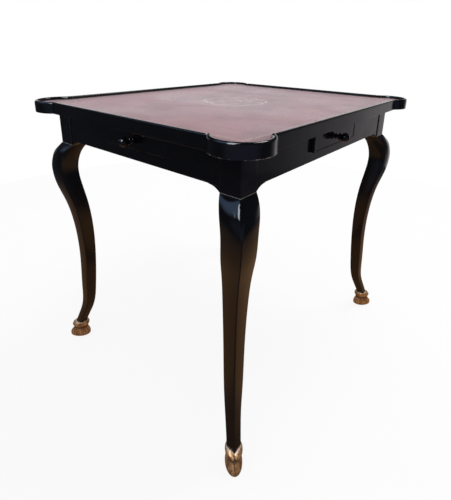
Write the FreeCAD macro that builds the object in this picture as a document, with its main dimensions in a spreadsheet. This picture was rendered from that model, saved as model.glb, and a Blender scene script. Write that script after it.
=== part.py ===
import FreeCAD, Part
import math
import os
import re
import Sketcher

# A mahjong table with four small drawers, in millimetres.
# X runs across the table, Y along it and Z up. The origin is on the floor under the centre.
# The front side faces -Y, the right side +X, the back +Y and the left -X.

Vector = FreeCAD.Vector
document = FreeCAD.newDocument("MahjongTable")

# ---------------------------------------------------------------- driving dimensions

DRIVING_SIZES = (
    ("table_height", 760.0, "floor to the top of the raised rim"),
    ("top_width", 702.0, "across the straight rims, along X"),
    ("top_length", 822.0, "across the straight rims, along Y"),
    ("rim_height", 29.0, "height of the rim boards"),
    ("rim_thickness", 10.0, "thickness of the rim boards"),
    ("rim_edge_radius", 4.0, "rounding of the rim's top edges"),
    ("rim_stand", 8.0, "rim above the playing surface"),
    ("leather_thickness", 1.2, "leather of the playing surface"),
    ("turret_radius", 62.0, "outside of the round corner"),
    ("turret_inset", 44.0, "round corner's centre behind the rim faces"),
    ("glue_gap", 0.1, "gap between glued curved faces"),
    ("post_setback", 39.0, "leg post behind the rim face"),
    ("post_side", 50.0, "square section of the leg post"),
    ("post_drop", 88.0, "leg post below the top panel"),
    ("frieze_reveal", 2.0, "apron face behind the post face"),
    ("frieze_height", 77.0, "height of the aprons"),
    ("apron_thickness", 18.0, "thickness of the aprons"),
    ("tenon_length", 20.0, "apron tenon into the post"),
    ("tenon_thickness", 10.0, "thickness of the tenon"),
    ("tenon_shoulder", 8.0, "apron above and below its tenon"),
    ("tenon_clearance", 0.2, "gap around and past the tenon"),
    ("bottom_rail_height", 22.0, "apron below the drawer opening"),
    ("drawer_front_width", 225.0, "width of a drawer front"),
    ("drawer_front_height", 42.0, "height of a drawer front"),
    ("drawer_front_thickness", 14.0, "thickness of a drawer front"),
    ("drawer_gap", 1.5, "gap around a drawer front"),
    ("drawer_spacing", 33.3, "front and back drawer stops from the side drawers' runners"),
    ("drawer_side_height", 38.0, "height of the drawer sides"),
    ("drawer_side_thickness", 8.0, "thickness of the drawer sides"),
    ("drawer_side_inset", 0.5, "drawer sides inside the front's ends"),
    ("drawer_back_thickness", 8.0, "thickness of the drawer back"),
    ("drawer_back_drop", 2.0, "drawer back below the sides' top"),
    ("drawer_bottom_thickness", 4.0, "thickness of the drawer bottom"),
    ("drawer_bottom_rise", 6.0, "drawer bottom above the sides' lower edge"),
    ("drawer_groove_depth", 3.0, "groove for the bottom in each side"),
    ("groove_clearance", 0.2, "gap past the bottom's edge in its groove"),
    ("bead_width", 3.5, "bead around the drawer front"),
    ("bead_stand", 1.2, "bead above the drawer front's field"),
    ("bead_radius", 1.0, "rounding of the bead's outer edge"),
    ("right_drawer_ajar", 9.0, "how far the right drawer stands open"),
    ("slide_clearance", 0.3, "gap above and below the sliding sides"),
    ("guide_clearance", 0.4, "gap beside the sliding sides"),
    ("runner_wall", 12.0, "thickness of a runner's wall"),
    ("runner_ledge_width", 9.0, "ledge that carries a drawer side"),
    ("runner_ledge_height", 9.0, "thickness of that ledge"),
    ("stop_thickness", 12.0, "thickness of the drawer stop"),
    ("knob_ball_radius", 12.0, "ball of the knob"),
    ("knob_reach", 22.0, "drawer front to the ball's centre"),
    ("knob_neck_radius", 4.5, "neck of the knob"),
    ("knob_base_radius", 8.0, "foot of the knob on the drawer front"),
    ("knob_base_thickness", 2.0, "thickness of the knob's foot"),
    ("knob_cove_height", 5.0, "height at which the cove meets the neck"),
    ("knob_spigot_radius", 4.0, "spigot glued into the drawer front"),
    ("knob_spigot_length", 10.0, "length of the spigot"),
    ("bracket_width", 30.0, "knee bracket along the apron"),
    ("bracket_drop", 14.0, "knee bracket below the apron at the post"),
    ("bracket_tip", 1.0, "thickness of the bracket's tip"),
    ("block_reach", 65.0, "corner block along each apron"),
    ("block_height", 41.0, "height of the corner blocks"),
    ("screw_inset", 12.0, "top screw from the post's inner faces"),
    ("screw_radius", 2.0, "shank of the top screws"),
    ("screw_hole_clearance", 0.2, "gap around the shank"),
    ("screw_head_radius", 4.0, "head of the top screws"),
    ("screw_head_height", 2.4, "countersunk height of the head"),
    ("screw_bite", 14.0, "screw's length inside the top panel"),
    ("shoulder_drop", 17.0, "leg: round shoulder below the post"),
    ("shoulder_out", 16.1, "leg: outer arris beyond the post face there"),
    ("shoulder_side", 55.3, "leg: square section there"),
    ("knee_drop", 65.0, "leg: crest of the knee below the post"),
    ("knee_out", 26.7, "leg: outer arris beyond the post face there"),
    ("knee_side", 53.0, "leg: square section there"),
    ("thigh_drop", 119.0, "leg: underside of the knee below the post"),
    ("thigh_out", 22.1, "leg: outer arris beyond the post face there"),
    ("thigh_side", 51.0, "leg: square section there"),
    ("calf_drop", 171.0, "leg: upper calf below the post"),
    ("calf_out", 9.0, "leg: outer arris beyond the post face there"),
    ("calf_side", 45.4, "leg: square section there"),
    ("shin_drop", 243.0, "leg: shin below the post"),
    ("shin_in", 2.4, "leg: outer arris behind the post face there"),
    ("shin_side", 39.9, "leg: square section there"),
    ("ankle_height", 275.0, "leg: slimmest bend"),
    ("ankle_in", 6.7, "leg: outer arris behind the post face there"),
    ("ankle_side", 34.6, "leg: square section there"),
    ("pastern_height", 175.0, "leg: above the foot"),
    ("pastern_in", 3.5, "leg: outer arris behind the post face there"),
    ("pastern_side", 31.6, "leg: square section there"),
    ("fetlock_height", 108.0, "leg: start of the foot's flare"),
    ("fetlock_out", 1.6, "leg: outer arris beyond the post face there"),
    ("fetlock_side", 27.4, "leg: square section there"),
    ("coronet_height", 62.0, "leg: where it enters the hoof"),
    ("coronet_out", 14.3, "leg: outer arris beyond the post face there"),
    ("coronet_side", 25.2, "leg: square section there"),
    ("leg_end_height", 34.0, "leg: end inside the hoof"),
    ("leg_end_out", 21.5, "leg: outer arris beyond the post face there"),
    ("leg_end_side", 24.4, "leg: square section there"),
    ("hoof_out", 8.0, "hoof's axis beyond the post faces"),
    ("hoof_sole_toe", 33.5, "hoof's axis to its toe on the floor"),
    ("hoof_sole_heel", 26.0, "hoof's axis to its heel on the floor"),
    ("hoof_sole_half_width", 19.0, "half of the hoof's width on the floor"),
    ("hoof_wall_height", 9.0, "widest part of the hoof"),
    ("hoof_wall_growth", 1.0, "widest part beyond the sole all round"),
    ("waist_height", 27.0, "waist between hoof and collar"),
    ("waist_toe", 22.0, "hoof's axis to the front of the waist"),
    ("waist_heel", 21.0, "hoof's axis to the back of the waist"),
    ("waist_half_width", 17.6, "half of the waist's width"),
    ("collar_height", 41.0, "widest part of the collar"),
    ("collar_toe", 25.5, "hoof's axis to the front of the collar"),
    ("collar_heel", 25.5, "hoof's axis to the back of the collar"),
    ("collar_half_width", 19.6, "half of the collar's width"),
    ("collar_back", 2.0, "collar's middle behind the hoof's axis"),
    ("hoof_top_height", 52.0, "top edge of the hoof shoe"),
    ("hoof_top_toe", 18.0, "hoof's axis to the front of the top edge"),
    ("hoof_top_heel", 28.0, "hoof's axis to the back of the top edge"),
    ("hoof_top_half_width", 19.4, "half of the top edge's width"),
    ("hoof_top_back", 6.5, "top edge's middle behind the hoof's axis"),
    ("cleft_width", 3.0, "width of the cleft at the toe"),
    ("cleft_depth", 6.0, "depth of the cleft behind the toe"),
    ("cleft_height", 25.0, "top of the cleft above the floor"),
    ("pin_height", 44.0, "height of the hoof pins"),
    ("pin_radius", 1.0, "shank of the hoof pins"),
    ("pin_length", 12.0, "length of the hoof pins' shank"),
    ("pin_head_radius", 2.4, "head of the hoof pins"),
    ("pin_head_thickness", 1.2, "thickness of that head"),
    ("pin_head_seat", 25.4, "hoof's axis back to the seat of the head"),
)

# ---------------------------------------------------------------- places worked out from them

WORKED_OUT_PLACES = (
    ("half_width", "top_width / 2", "rim face along X"),
    ("half_length", "top_length / 2", "rim face along Y"),
    ("rim_bottom", "table_height - rim_height", "underside of rim and panel"),
    ("field_half_width", "half_width - rim_thickness", "rim's inner face along X"),
    ("field_half_length", "half_length - rim_thickness", "rim's inner face along Y"),
    ("leather_top", "table_height - rim_stand", "playing surface"),
    ("panel_top", "leather_top - leather_thickness", "under the leather"),
    ("turret_x", "half_width - turret_inset", "round corner's centre"),
    ("turret_y", "half_length - turret_inset", "round corner's centre"),
    ("post_face_x", "half_width - post_setback", "post's outer face along X"),
    ("post_face_y", "half_length - post_setback", "post's outer face along Y"),
    ("post_inner_x", "post_face_x - post_side", "post's inner face along X"),
    ("post_inner_y", "post_face_y - post_side", "post's inner face along Y"),
    ("post_bottom", "rim_bottom - post_drop", "lower end of the post"),
    ("frieze_x", "post_face_x - frieze_reveal", "apron face along X"),
    ("frieze_y", "post_face_y - frieze_reveal", "apron face along Y"),
    ("frieze_bottom", "rim_bottom - frieze_height", "lower edge of the aprons"),
    ("opening_low", "frieze_bottom + bottom_rail_height", "drawer opening's sill"),
    ("opening_height", "drawer_front_height + 2 * drawer_gap", "drawer opening"),
    ("opening_width", "drawer_front_width + 2 * drawer_gap", "drawer opening"),
    ("drawer_low", "opening_low + drawer_gap", "lower edge of the drawer"),
    ("drawer_half_width", "drawer_front_width / 2 - drawer_side_inset", "side's outer face"),
    ("drawer_inner_half", "drawer_half_width - drawer_side_thickness", "side's inner face"),
    ("drawer_bottom_low", "drawer_low + drawer_bottom_rise", "underside of the bottom"),
    ("drawer_floor", "drawer_bottom_low + drawer_bottom_thickness", "inside floor"),
    ("drawer_side_top", "drawer_low + drawer_side_height", "top of the sides"),
    ("drawer_middle", "drawer_low + drawer_front_height / 2", "height of the knob"),
    ("guide_inner", "drawer_half_width + guide_clearance", "runner wall's inner face"),
    ("guide_outer", "guide_inner + runner_wall", "runner wall's outer face"),
    ("stop_inner", "guide_outer + drawer_spacing", "inner face of the front and back stops"),
    ("runner_end", "frieze_y - stop_inner - stop_thickness", "apron face to the runners' inner end"),
    ("drawer_length", "runner_end - slide_clearance", "drawer from front face to back"),
    ("drawer_side_length", "drawer_length - drawer_front_thickness", "length of the sides"),
    ("ledge_inner", "guide_inner - runner_ledge_width", "ledge's inner edge"),
    ("ledge_top", "drawer_low - slide_clearance", "top of the ledge"),
    ("kicker_bottom", "drawer_side_top + slide_clearance", "underside of the kicker"),
    ("runner_bottom", "ledge_top - runner_ledge_height", "underside of the runner"),
    ("bottom_half_width", "drawer_inner_half + drawer_groove_depth - groove_clearance", "bottom's edge"),
    ("drawer_back_top", "drawer_side_top - drawer_back_drop", "top of the drawer back"),
    ("tenon_setback", "(apron_thickness - tenon_thickness) / 2", "tenon behind the apron's face"),
    ("tenon_low", "frieze_bottom + tenon_shoulder", "underside of the tenons"),
    ("tenon_height", "frieze_height - 2 * tenon_shoulder", "height of the tenons"),
    ("block_bottom", "rim_bottom - block_height", "underside of the corner blocks"),
    ("screw_x", "post_inner_x - screw_inset", "top screw's place"),
    ("screw_y", "post_inner_y - screw_inset", "top screw's place"),
    ("hoof_x", "post_face_x + hoof_out", "hoof's axis"),
    ("hoof_y", "post_face_y + hoof_out", "hoof's axis"),
    ("pin_end", "pin_head_seat - pin_length", "pin's end behind the hoof's axis"),
)


def make_sheet(name, rows, is_formula):
    """One sheet with an alias, a value or formula and a meaning in each row."""
    sheet = document.addObject("Spreadsheet::Sheet", name)
    for row, (alias, value, meaning) in enumerate(rows, start=1):
        sheet.set(f"A{row}", alias)
        sheet.set(f"B{row}", "=" + expand(value) if is_formula else str(value))
        sheet.set(f"C{row}", meaning)
        sheet.setAlias(f"B{row}", alias)
    return sheet


SHEET_OF = {row[0]: "Sizes" for row in DRIVING_SIZES}
SHEET_OF.update({row[0]: "Places" for row in WORKED_OUT_PLACES})


def expand(text):
    """The expression with each size's sheet written before its name."""

    def with_sheet(word):
        name = word[0]
        return f"{SHEET_OF[name]}.{name}" if name in SHEET_OF else name

    return re.sub(r"[a-z_]+", with_sheet, text)


sizes = make_sheet("Sizes", DRIVING_SIZES, False)
places = make_sheet("Places", WORKED_OUT_PLACES, True)
document.recompute()


def number(text):
    """The value of an expression in the sheets' names."""
    return float(sizes.evalExpression(expand(text)))


def bind(item, property_name, text):
    """Ties a property to an expression in the sheets' names."""
    item.setExpression(property_name, expand(text))


# ---------------------------------------------------------------- sides, corners and placements

# each side: its turn about Z, the apron face's distance, the post's inner face along it
SIDES = {
    "front": (0, "frieze_y", "post_inner_x"),
    "right": (90, "frieze_x", "post_inner_y"),
    "back": (180, "frieze_y", "post_inner_x"),
    "left": (270, "frieze_x", "post_inner_y"),
}

# each corner: the side whose right-hand end it is, and the next side round
CORNERS = {
    "front_right": ("front", "right"),
    "back_right": ("right", "back"),
    "back_left": ("back", "left"),
    "front_left": ("left", "front"),
}

# each corner's signs along X and Y
CORNER_SIGNS = {"front_right": (1, -1), "back_right": (1, 1), "back_left": (-1, 1), "front_left": (-1, -1)}


def turn_and_shift(turn, x="0", y="0", z="0", axis="0;0;1"):
    """Placement expression: a turn in degrees about an axis, then a shift."""
    return f"placement(vector({x};{y};{z});rotation(vector({axis});{turn}))"


def side_frame(side, pulled="0"):
    """Frame of one side: x along it, y inwards from the apron's face, z up."""
    turn, distance, _ = SIDES[side]
    return turn_and_shift(turn) + " * " + turn_and_shift(0, y=f"-({distance}) - ({pulled})")


def put(item, frame, x="0", y="0", z="0"):
    """Places an item at x, y, z in a frame."""
    bind(item, "Placement", frame + " * " + turn_and_shift(0, x, y, z))
    return item


IN_PLACE = turn_and_shift(0)


def add_box(name, low, extent, frame=IN_PLACE):
    """A box from its low corner and its three lengths, all as expressions."""
    box = document.addObject("Part::Box", name)
    for property_name, text in zip(("Length", "Width", "Height"), extent):
        bind(box, property_name, text)
    return put(box, frame, *low)


def add_cylinder(name, radius, height, x, y, z, frame=IN_PLACE):
    """An upright cylinder on its lower centre."""
    cylinder = document.addObject("Part::Cylinder", name)
    bind(cylinder, "Radius", radius)
    bind(cylinder, "Height", height)
    return put(cylinder, frame, x, y, z)


def fuse(name, shapes, frame=IN_PLACE):
    """Several shapes as one solid."""
    joined = document.addObject("Part::MultiFuse", name)
    joined.Shapes = shapes
    joined.Refine = True
    return put(joined, frame)


def cut(name, base, tool, frame=IN_PLACE):
    """One shape less another."""
    result = document.addObject("Part::Cut", name)
    result.Base = base
    result.Tool = tool
    return put(result, frame)


def group(name, members):
    """Separate solids that share one node."""
    compound = document.addObject("Part::Compound", name)
    compound.Links = members
    return compound


def round_edges(name, base, radius, chosen):
    """Rounds the edges for which chosen(edge) is true."""
    document.recompute()
    numbers = [n for n, edge in enumerate(base.Shape.Edges, start=1) if chosen(edge)]
    rounded = document.addObject("Part::Fillet", name)
    rounded.Base = base
    rounded.Edges = [(n, radius, radius) for n in numbers]
    return rounded


def mirror(name, source, along_x, along_y):
    """A copy mirrored across the planes through the origin that face X or Y."""
    if along_x and along_y:
        source = mirror(f"{name}_half_way", source, True, False)
    copy = document.addObject("Part::Mirroring", name)
    copy.Source = source
    copy.Normal = Vector(0, 1, 0) if along_y else Vector(1, 0, 0)
    return copy


def at_corners(name_start, front_right):
    """The front right piece and its three mirror images, by corner."""
    mirrored = {"back_right": (False, True), "front_left": (True, False), "back_left": (True, True)}
    pieces = {"front_right": front_right}
    for corner, (along_x, along_y) in mirrored.items():
        pieces[corner] = mirror(f"{name_start}_{corner}", front_right, along_x, along_y)
    return pieces


# ---------------------------------------------------------------- sketches


def new_body(name):
    """An empty body."""
    return document.addObject("PartDesign::Body", name)


def new_sketch(body, plane, height="0"):
    """A sketch on one of the body's own origin planes, raised by height along its normal."""
    sketch = body.newObject("Sketcher::SketchObject", body.Name + "_sketch")
    sketch.AttachmentSupport = [(p, "") for p in body.Origin.OriginFeatures if p.Role == plane]
    sketch.MapMode = "FlatFace"
    bind(sketch, "AttachmentOffset", turn_and_shift(0, z=height))
    return sketch


def pin_point(sketch, edge, end, x, y):
    """Holds one end of a sketch edge at x, y, given as expressions."""
    for kind, text in (("DistanceX", x), ("DistanceY", y)):
        constraint = Sketcher.Constraint(kind, -1, 1, edge, end, number(text))
        bind(sketch, f"Constraints[{sketch.addConstraint(constraint)}]", text)


def draw_outline(sketch, corners):
    """A closed outline of straight edges through corners given as pairs of expressions."""
    points = [Vector(number(x), number(y), 0) for x, y in corners]
    for start, end in zip(points, points[1:] + points[:1]):
        sketch.addGeometry(Part.LineSegment(start, end))
    for edge, (x, y) in enumerate(corners):
        edge_before = (edge - 1) % len(corners)
        sketch.addConstraint(Sketcher.Constraint("Coincident", edge_before, 2, edge, 1))
        pin_point(sketch, edge, 1, x, y)


def ellipse_arc(centre, reach_x, reach_y, start, end):
    """Part of an ellipse with level and upright axes, between two angles."""
    if reach_x >= reach_y:
        turn = 0.0
        ellipse = Part.Ellipse(centre + Vector(reach_x, 0, 0), centre + Vector(0, reach_y, 0), centre)
    else:
        turn = math.pi / 2
        ellipse = Part.Ellipse(centre + Vector(0, reach_y, 0), centre - Vector(reach_x, 0, 0), centre)
    return Part.ArcOfEllipse(ellipse, start - turn, end - turn)


def hold_still(sketch, edges):
    """Fixes the first edges of a sketch where they were worked out from the sheets."""
    for edge in range(edges):
        sketch.addConstraint(Sketcher.Constraint("Block", edge))


def draw_edges(sketch, edges):
    """Adds edges that were worked out from the sheets, and fixes them."""
    for edge in edges:
        sketch.addGeometry(edge)
    hold_still(sketch, len(edges))


def pad_both_ways(body, sketch, length):
    """Pads a sketch by half of length to each side."""
    pad = body.newObject("PartDesign::Pad", body.Name + "_pad")
    pad.Profile = sketch
    pad.SideType = "Symmetric"
    bind(pad, "Length", length)
    return pad


# ---------------------------------------------------------------- top


def top_layer(name, low, thickness):
    """A board with the tray's outline: a rectangle with a round ear at each corner."""
    field = add_box(
        name + "_field",
        ("-field_half_width", "-field_half_length", low),
        ("2 * field_half_width", "2 * field_half_length", thickness),
    )
    ears = [
        add_cylinder(
            f"{name}_ear_{corner}",
            "turret_radius - rim_thickness - glue_gap",
            thickness,
            f"{x_sign} * turret_x",
            f"{y_sign} * turret_y",
            low,
        )
        for corner, (x_sign, y_sign) in CORNER_SIGNS.items()
    ]
    return fuse(name, [field] + ears)


def make_top_panel():
    """The panel under the leather, with blind holes for the top screws."""
    board = top_layer("panel_board", "rim_bottom", "panel_top - rim_bottom")
    holes = [
        add_cylinder(
            f"panel_hole_{corner}",
            "screw_radius",
            "screw_bite + glue_gap",
            f"{x_sign} * screw_x",
            f"{y_sign} * screw_y",
            "rim_bottom",
        )
        for corner, (x_sign, y_sign) in CORNER_SIGNS.items()
    ]
    return cut("top_panel", board, fuse("panel_holes", holes))


def make_rim(side):
    """A straight rim board whose ends are hollowed to meet the round corners."""
    along, out = ("turret_x", "half_length") if side in ("front", "back") else ("turret_y", "half_width")
    frame = turn_and_shift(SIDES[side][0])
    board = add_box(
        f"rim_{side}_board",
        (f"-{along}", f"-{out}", "rim_bottom"),
        (f"2 * {along}", "rim_thickness", "rim_height"),
    )
    ends = [
        add_cylinder(
            f"rim_{side}_end_{sign}",
            "turret_radius + glue_gap",
            "rim_height",
            f"{sign} * {along}",
            f"turret_inset - {out}",
            "rim_bottom",
        )
        for sign in (-1, 1)
    ]
    shaped = cut(f"rim_{side}_shaped", board, fuse(f"rim_{side}_ends", ends))

    def is_long_top_edge(edge):
        box = edge.BoundBox
        return box.ZMin > number("leather_top") and box.XLength > number(along)

    rounded = round_edges(f"rim_{side}", shaped, number("rim_edge_radius"), is_long_top_edge)
    return put(rounded, frame)


def make_turret_rim():
    """The curved wall round one corner, from rim to rim."""
    centre = ("turret_x", "-turret_y", "rim_bottom")
    outside = add_cylinder("turret_outside", "turret_radius", "rim_height", *centre)
    inside = add_cylinder("turret_inside", "turret_radius - rim_thickness", "rim_height", *centre)
    ring = cut("turret_ring", outside, inside)
    field = add_box(
        "turret_field",
        ("0", "-field_half_length", "rim_bottom"),
        ("field_half_width", "field_half_length", "rim_height"),
    )
    wall = cut("turret_wall", ring, field)

    def is_round_top_edge(edge):
        return edge.BoundBox.ZMin > number("leather_top") and edge.Curve.TypeId == "Part::GeomCircle"

    return round_edges("turret_rim_front_right", wall, number("rim_edge_radius"), is_round_top_edge)


# ---------------------------------------------------------------- frame


def make_apron(side):
    """An apron with a drawer opening and a tenon at each end."""
    _, _, inner = SIDES[side]
    board = add_box(
        f"apron_{side}_board",
        (f"-{inner}", "0", "frieze_bottom"),
        (f"2 * {inner}", "apron_thickness", "frieze_height"),
    )
    tenon = add_box(
        f"apron_{side}_tenon",
        (f"-{inner} - tenon_length", "tenon_setback", "tenon_low"),
        (f"2 * ({inner} + tenon_length)", "tenon_thickness", "tenon_height"),
    )
    opening = add_box(
        f"apron_{side}_opening",
        ("-opening_width / 2", "0", "opening_low"),
        ("opening_width", "apron_thickness", "opening_height"),
    )
    solid = fuse(f"apron_{side}_solid", [board, tenon])
    return cut(f"apron_{side}", solid, opening, side_frame(side))


# the leg's square section from the post down: height, outer arris beyond the post face, side
LEG_STATIONS = (
    ("post_bottom", "0", "post_side"),
    ("post_bottom - shoulder_drop", "shoulder_out", "shoulder_side"),
    ("post_bottom - knee_drop", "knee_out", "knee_side"),
    ("post_bottom - thigh_drop", "thigh_out", "thigh_side"),
    ("post_bottom - calf_drop", "calf_out", "calf_side"),
    ("post_bottom - shin_drop", "-shin_in", "shin_side"),
    ("ankle_height", "-ankle_in", "ankle_side"),
    ("pastern_height", "-pastern_in", "pastern_side"),
    ("fetlock_height", "fetlock_out", "fetlock_side"),
    ("coronet_height", "coronet_out", "coronet_side"),
    ("leg_end_height", "leg_end_out", "leg_end_side"),
)


def curve_through(points):
    """A smooth curve through the points."""
    curve = Part.BSplineCurve()
    curve.interpolate(points)
    return curve


def make_leg_profile(name, plane, post_face, direction, width):
    """The leg as sawn from one side: post and cabriole curve, padded right across the table."""
    body = new_body(name)
    sketch = new_sketch(body, plane)
    face = number(post_face)
    side = number("post_side")
    top = number("rim_bottom")

    def at(distance, height):
        return Vector(direction * distance, height, 0)

    outer = [at(face + number(out), number(height)) for height, out, _ in LEG_STATIONS]
    inner = [at(face + number(f"{out} - {wide}"), number(height)) for height, out, wide in LEG_STATIONS]
    edges = (
        Part.LineSegment(at(face - side, top), at(face, top)),
        Part.LineSegment(at(face, top), outer[0]),
        curve_through(outer),
        Part.LineSegment(outer[-1], inner[-1]),
        curve_through(inner[::-1]),
        Part.LineSegment(inner[0], at(face - side, top)),
    )
    draw_edges(sketch, edges)
    pad_both_ways(body, sketch, width)
    return body


def make_mortise(side, end):
    """The hole for the tenon at one end of a side's apron."""
    _, _, inner = SIDES[side]
    start = inner if end > 0 else f"-{inner} - tenon_length - tenon_clearance"
    return add_box(
        f"mortise_{side}",
        (start, "tenon_setback - tenon_clearance", "tenon_low - tenon_clearance"),
        (
            "tenon_length + tenon_clearance",
            "tenon_thickness + 2 * tenon_clearance",
            "tenon_height + 2 * tenon_clearance",
        ),
        side_frame(side),
    )


HOOF_FRAME = turn_and_shift(-45, "hoof_x", "-hoof_y")


def level_cylinder(name, radius, start, end):
    """A level cylinder along the hoof's axis of length, between two distances behind its upright axis."""
    cylinder = document.addObject("Part::Cylinder", name)
    bind(cylinder, "Radius", radius)
    bind(cylinder, "Height", f"({start}) - ({end})")
    lying = turn_and_shift(90, f"-({start})", "0", "pin_height", "0;1;0")
    bind(cylinder, "Placement", HOOF_FRAME + " * " + lying)
    return cylinder


def make_leg():
    """The front right leg: two sawn profiles in common, with mortises and a pin hole."""
    across = make_leg_profile("leg_profile_across", "XZ_Plane", "post_face_x", 1, "2 * top_length")
    along = make_leg_profile("leg_profile_along", "YZ_Plane", "post_face_y", -1, "2 * top_width")
    sawn = document.addObject("Part::Common", "leg_sawn")
    sawn.Base = across
    sawn.Tool = along
    pin_hole = level_cylinder("leg_pin_hole", "pin_radius + glue_gap", "pin_head_seat", "pin_end - glue_gap")
    tools = [make_mortise("front", 1), make_mortise("right", -1), pin_hole]
    return cut("leg_front_right", sawn, fuse("leg_holes", tools))


def make_bracket(side, end):
    """A knee bracket under one end of an apron: a hollow of one arc that runs out along the apron."""
    _, _, inner = SIDES[side]
    body = new_body(f"bracket_{side}_{'right' if end > 0 else 'left'}")
    sketch = new_sketch(body, "XZ_Plane")
    post = number(inner)
    high = number("frieze_bottom")
    tip = number("bracket_width")
    drop = number("bracket_drop")
    edge = number("bracket_tip")
    radius = number("(bracket_width ^ 2 + (bracket_drop - bracket_tip) ^ 2) / (2 * (bracket_drop - bracket_tip))")

    def at(from_post, below):
        return Vector(end * (post - from_post), high - below, 0)

    middle = edge + radius - math.sqrt(radius**2 - (tip / 2) ** 2)
    hollow = Part.Arc(at(0, drop), at(tip / 2, middle), at(tip, edge))
    draw_edges(
        sketch,
        (
            Part.LineSegment(at(0, 0), at(0, drop)),
            hollow,
            Part.LineSegment(at(tip, edge), at(tip, 0)),
            Part.LineSegment(at(tip, 0), at(0, 0)),
        ),
    )
    pad_both_ways(body, sketch, "apron_thickness")
    return put(body, side_frame(side), y="apron_thickness / 2")


def make_corner_block():
    """A block glued behind the front right post, with a clearance hole for its screw."""
    body = new_body("corner_block_front_right")
    sketch = new_sketch(body, "XY_Plane", "block_bottom + block_height / 2")
    behind_x = "(frieze_x - apron_thickness)"
    behind_y = "-(frieze_y - apron_thickness)"
    draw_outline(
        sketch,
        (
            (behind_x, "-post_inner_y"),
            ("post_inner_x", "-post_inner_y"),
            ("post_inner_x", behind_y),
            ("post_inner_x - block_reach", behind_y),
            (behind_x, "block_reach - post_inner_y"),
        ),
    )
    pad_both_ways(body, sketch, "block_height")
    hole = add_cylinder(
        "block_hole",
        "screw_radius + screw_hole_clearance",
        "block_height",
        "screw_x",
        "-screw_y",
        "block_bottom",
    )
    countersink = document.addObject("Part::Cone", "block_countersink")
    bind(countersink, "Radius1", "screw_head_radius + screw_hole_clearance")
    bind(countersink, "Radius2", "screw_radius + screw_hole_clearance")
    bind(countersink, "Height", "screw_head_height")
    put(countersink, IN_PLACE, "screw_x", "-screw_y", "block_bottom")
    return cut("corner_block_drilled", body, fuse("block_drill", [hole, countersink]))


def make_top_screw():
    """A countersunk screw up through the front right corner block into the panel."""
    shank = add_cylinder(
        "screw_shank",
        "screw_radius - glue_gap",
        "block_height + screw_bite",
        "screw_x",
        "-screw_y",
        "block_bottom",
    )
    head = document.addObject("Part::Cone", "screw_head")
    bind(head, "Radius1", "screw_head_radius")
    bind(head, "Radius2", "screw_radius - glue_gap")
    bind(head, "Height", "screw_head_height")
    put(head, IN_PLACE, "screw_x", "-screw_y", "block_bottom")
    return fuse("top_screw_front_right", [shank, head])


# ---------------------------------------------------------------- hooves

# the hoof shoe's sections: height, middle behind the axis, toe, heel and half width from the axis
HOOF_SECTIONS = (
    ("0", "0", "hoof_sole_toe", "hoof_sole_heel", "hoof_sole_half_width"),
    (
        "hoof_wall_height",
        "0",
        "hoof_sole_toe + hoof_wall_growth",
        "hoof_sole_heel + hoof_wall_growth",
        "hoof_sole_half_width + hoof_wall_growth",
    ),
    ("waist_height", "0", "waist_toe", "waist_heel", "waist_half_width"),
    ("collar_height", "collar_back", "collar_toe", "collar_heel", "collar_half_width"),
    ("hoof_top_height", "hoof_top_back", "hoof_top_toe", "hoof_top_heel", "hoof_top_half_width"),
)


def draw_egg(sketch, back, toe, heel, half_width):
    """An egg of two half ellipses that share a width: a long one to the toe, a short one to the heel."""
    centre = Vector(-back, 0, 0)
    sketch.addGeometry(ellipse_arc(centre, toe + back, half_width, -math.pi / 2, math.pi / 2))
    sketch.addGeometry(ellipse_arc(centre, heel - back, half_width, math.pi / 2, 3 * math.pi / 2))
    hold_still(sketch, 2)


def make_hoof():
    """The front right hoof shoe: a lofted hoof and collar, with a cleft toe and a socket for the leg."""
    body = new_body("hoof_loft")
    sections = []
    for height, back, toe, heel, half_width in HOOF_SECTIONS:
        sketch = new_sketch(body, "XY_Plane", height)
        draw_egg(sketch, number(back), number(toe), number(heel), number(half_width))
        sections.append(sketch)
    loft = body.newObject("PartDesign::AdditiveLoft", "hoof_loft_form")
    loft.Profile = sections[0]
    loft.Sections = sections[1:]
    put(body, HOOF_FRAME)

    cleft = new_body("hoof_cleft")
    cleft_sketch = new_sketch(cleft, "XY_Plane")
    draw_outline(
        cleft_sketch,
        (
            ("hoof_sole_toe - cleft_depth", "0"),
            ("hoof_sole_toe + cleft_depth", "-cleft_width"),
            ("hoof_sole_toe + cleft_depth", "cleft_width"),
        ),
    )
    pad_both_ways(cleft, cleft_sketch, "2 * cleft_height")
    put(cleft, HOOF_FRAME)
    return body, cleft


def drill_hoof(body, cleft, leg):
    """The hoof shoe with its cleft, the leg's socket and the pin's stepped hole."""
    shank_hole = level_cylinder(
        "hoof_pin_hole",
        "pin_radius + glue_gap",
        "pin_head_seat",
        "pin_end - 2 * glue_gap",
    )
    head_hole = level_cylinder(
        "hoof_pin_seat",
        "pin_head_radius + glue_gap",
        "hoof_top_heel + pin_length",
        "pin_head_seat",
    )
    hollow = cut("hoof_hollow", body, leg)
    return cut("hoof_front_right", hollow, fuse("hoof_tools", [cleft, shank_hole, head_hole]))


def make_hoof_pin():
    """The pin that holds the front right hoof shoe to the leg."""
    shank = level_cylinder("pin_shank", "pin_radius", "pin_head_seat", "pin_end")
    head = level_cylinder(
        "pin_head",
        "pin_head_radius",
        "pin_head_seat + pin_head_thickness",
        "pin_head_seat",
    )
    return fuse("hoof_pin_front_right", [shank, head])


# ---------------------------------------------------------------- drawers


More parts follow.
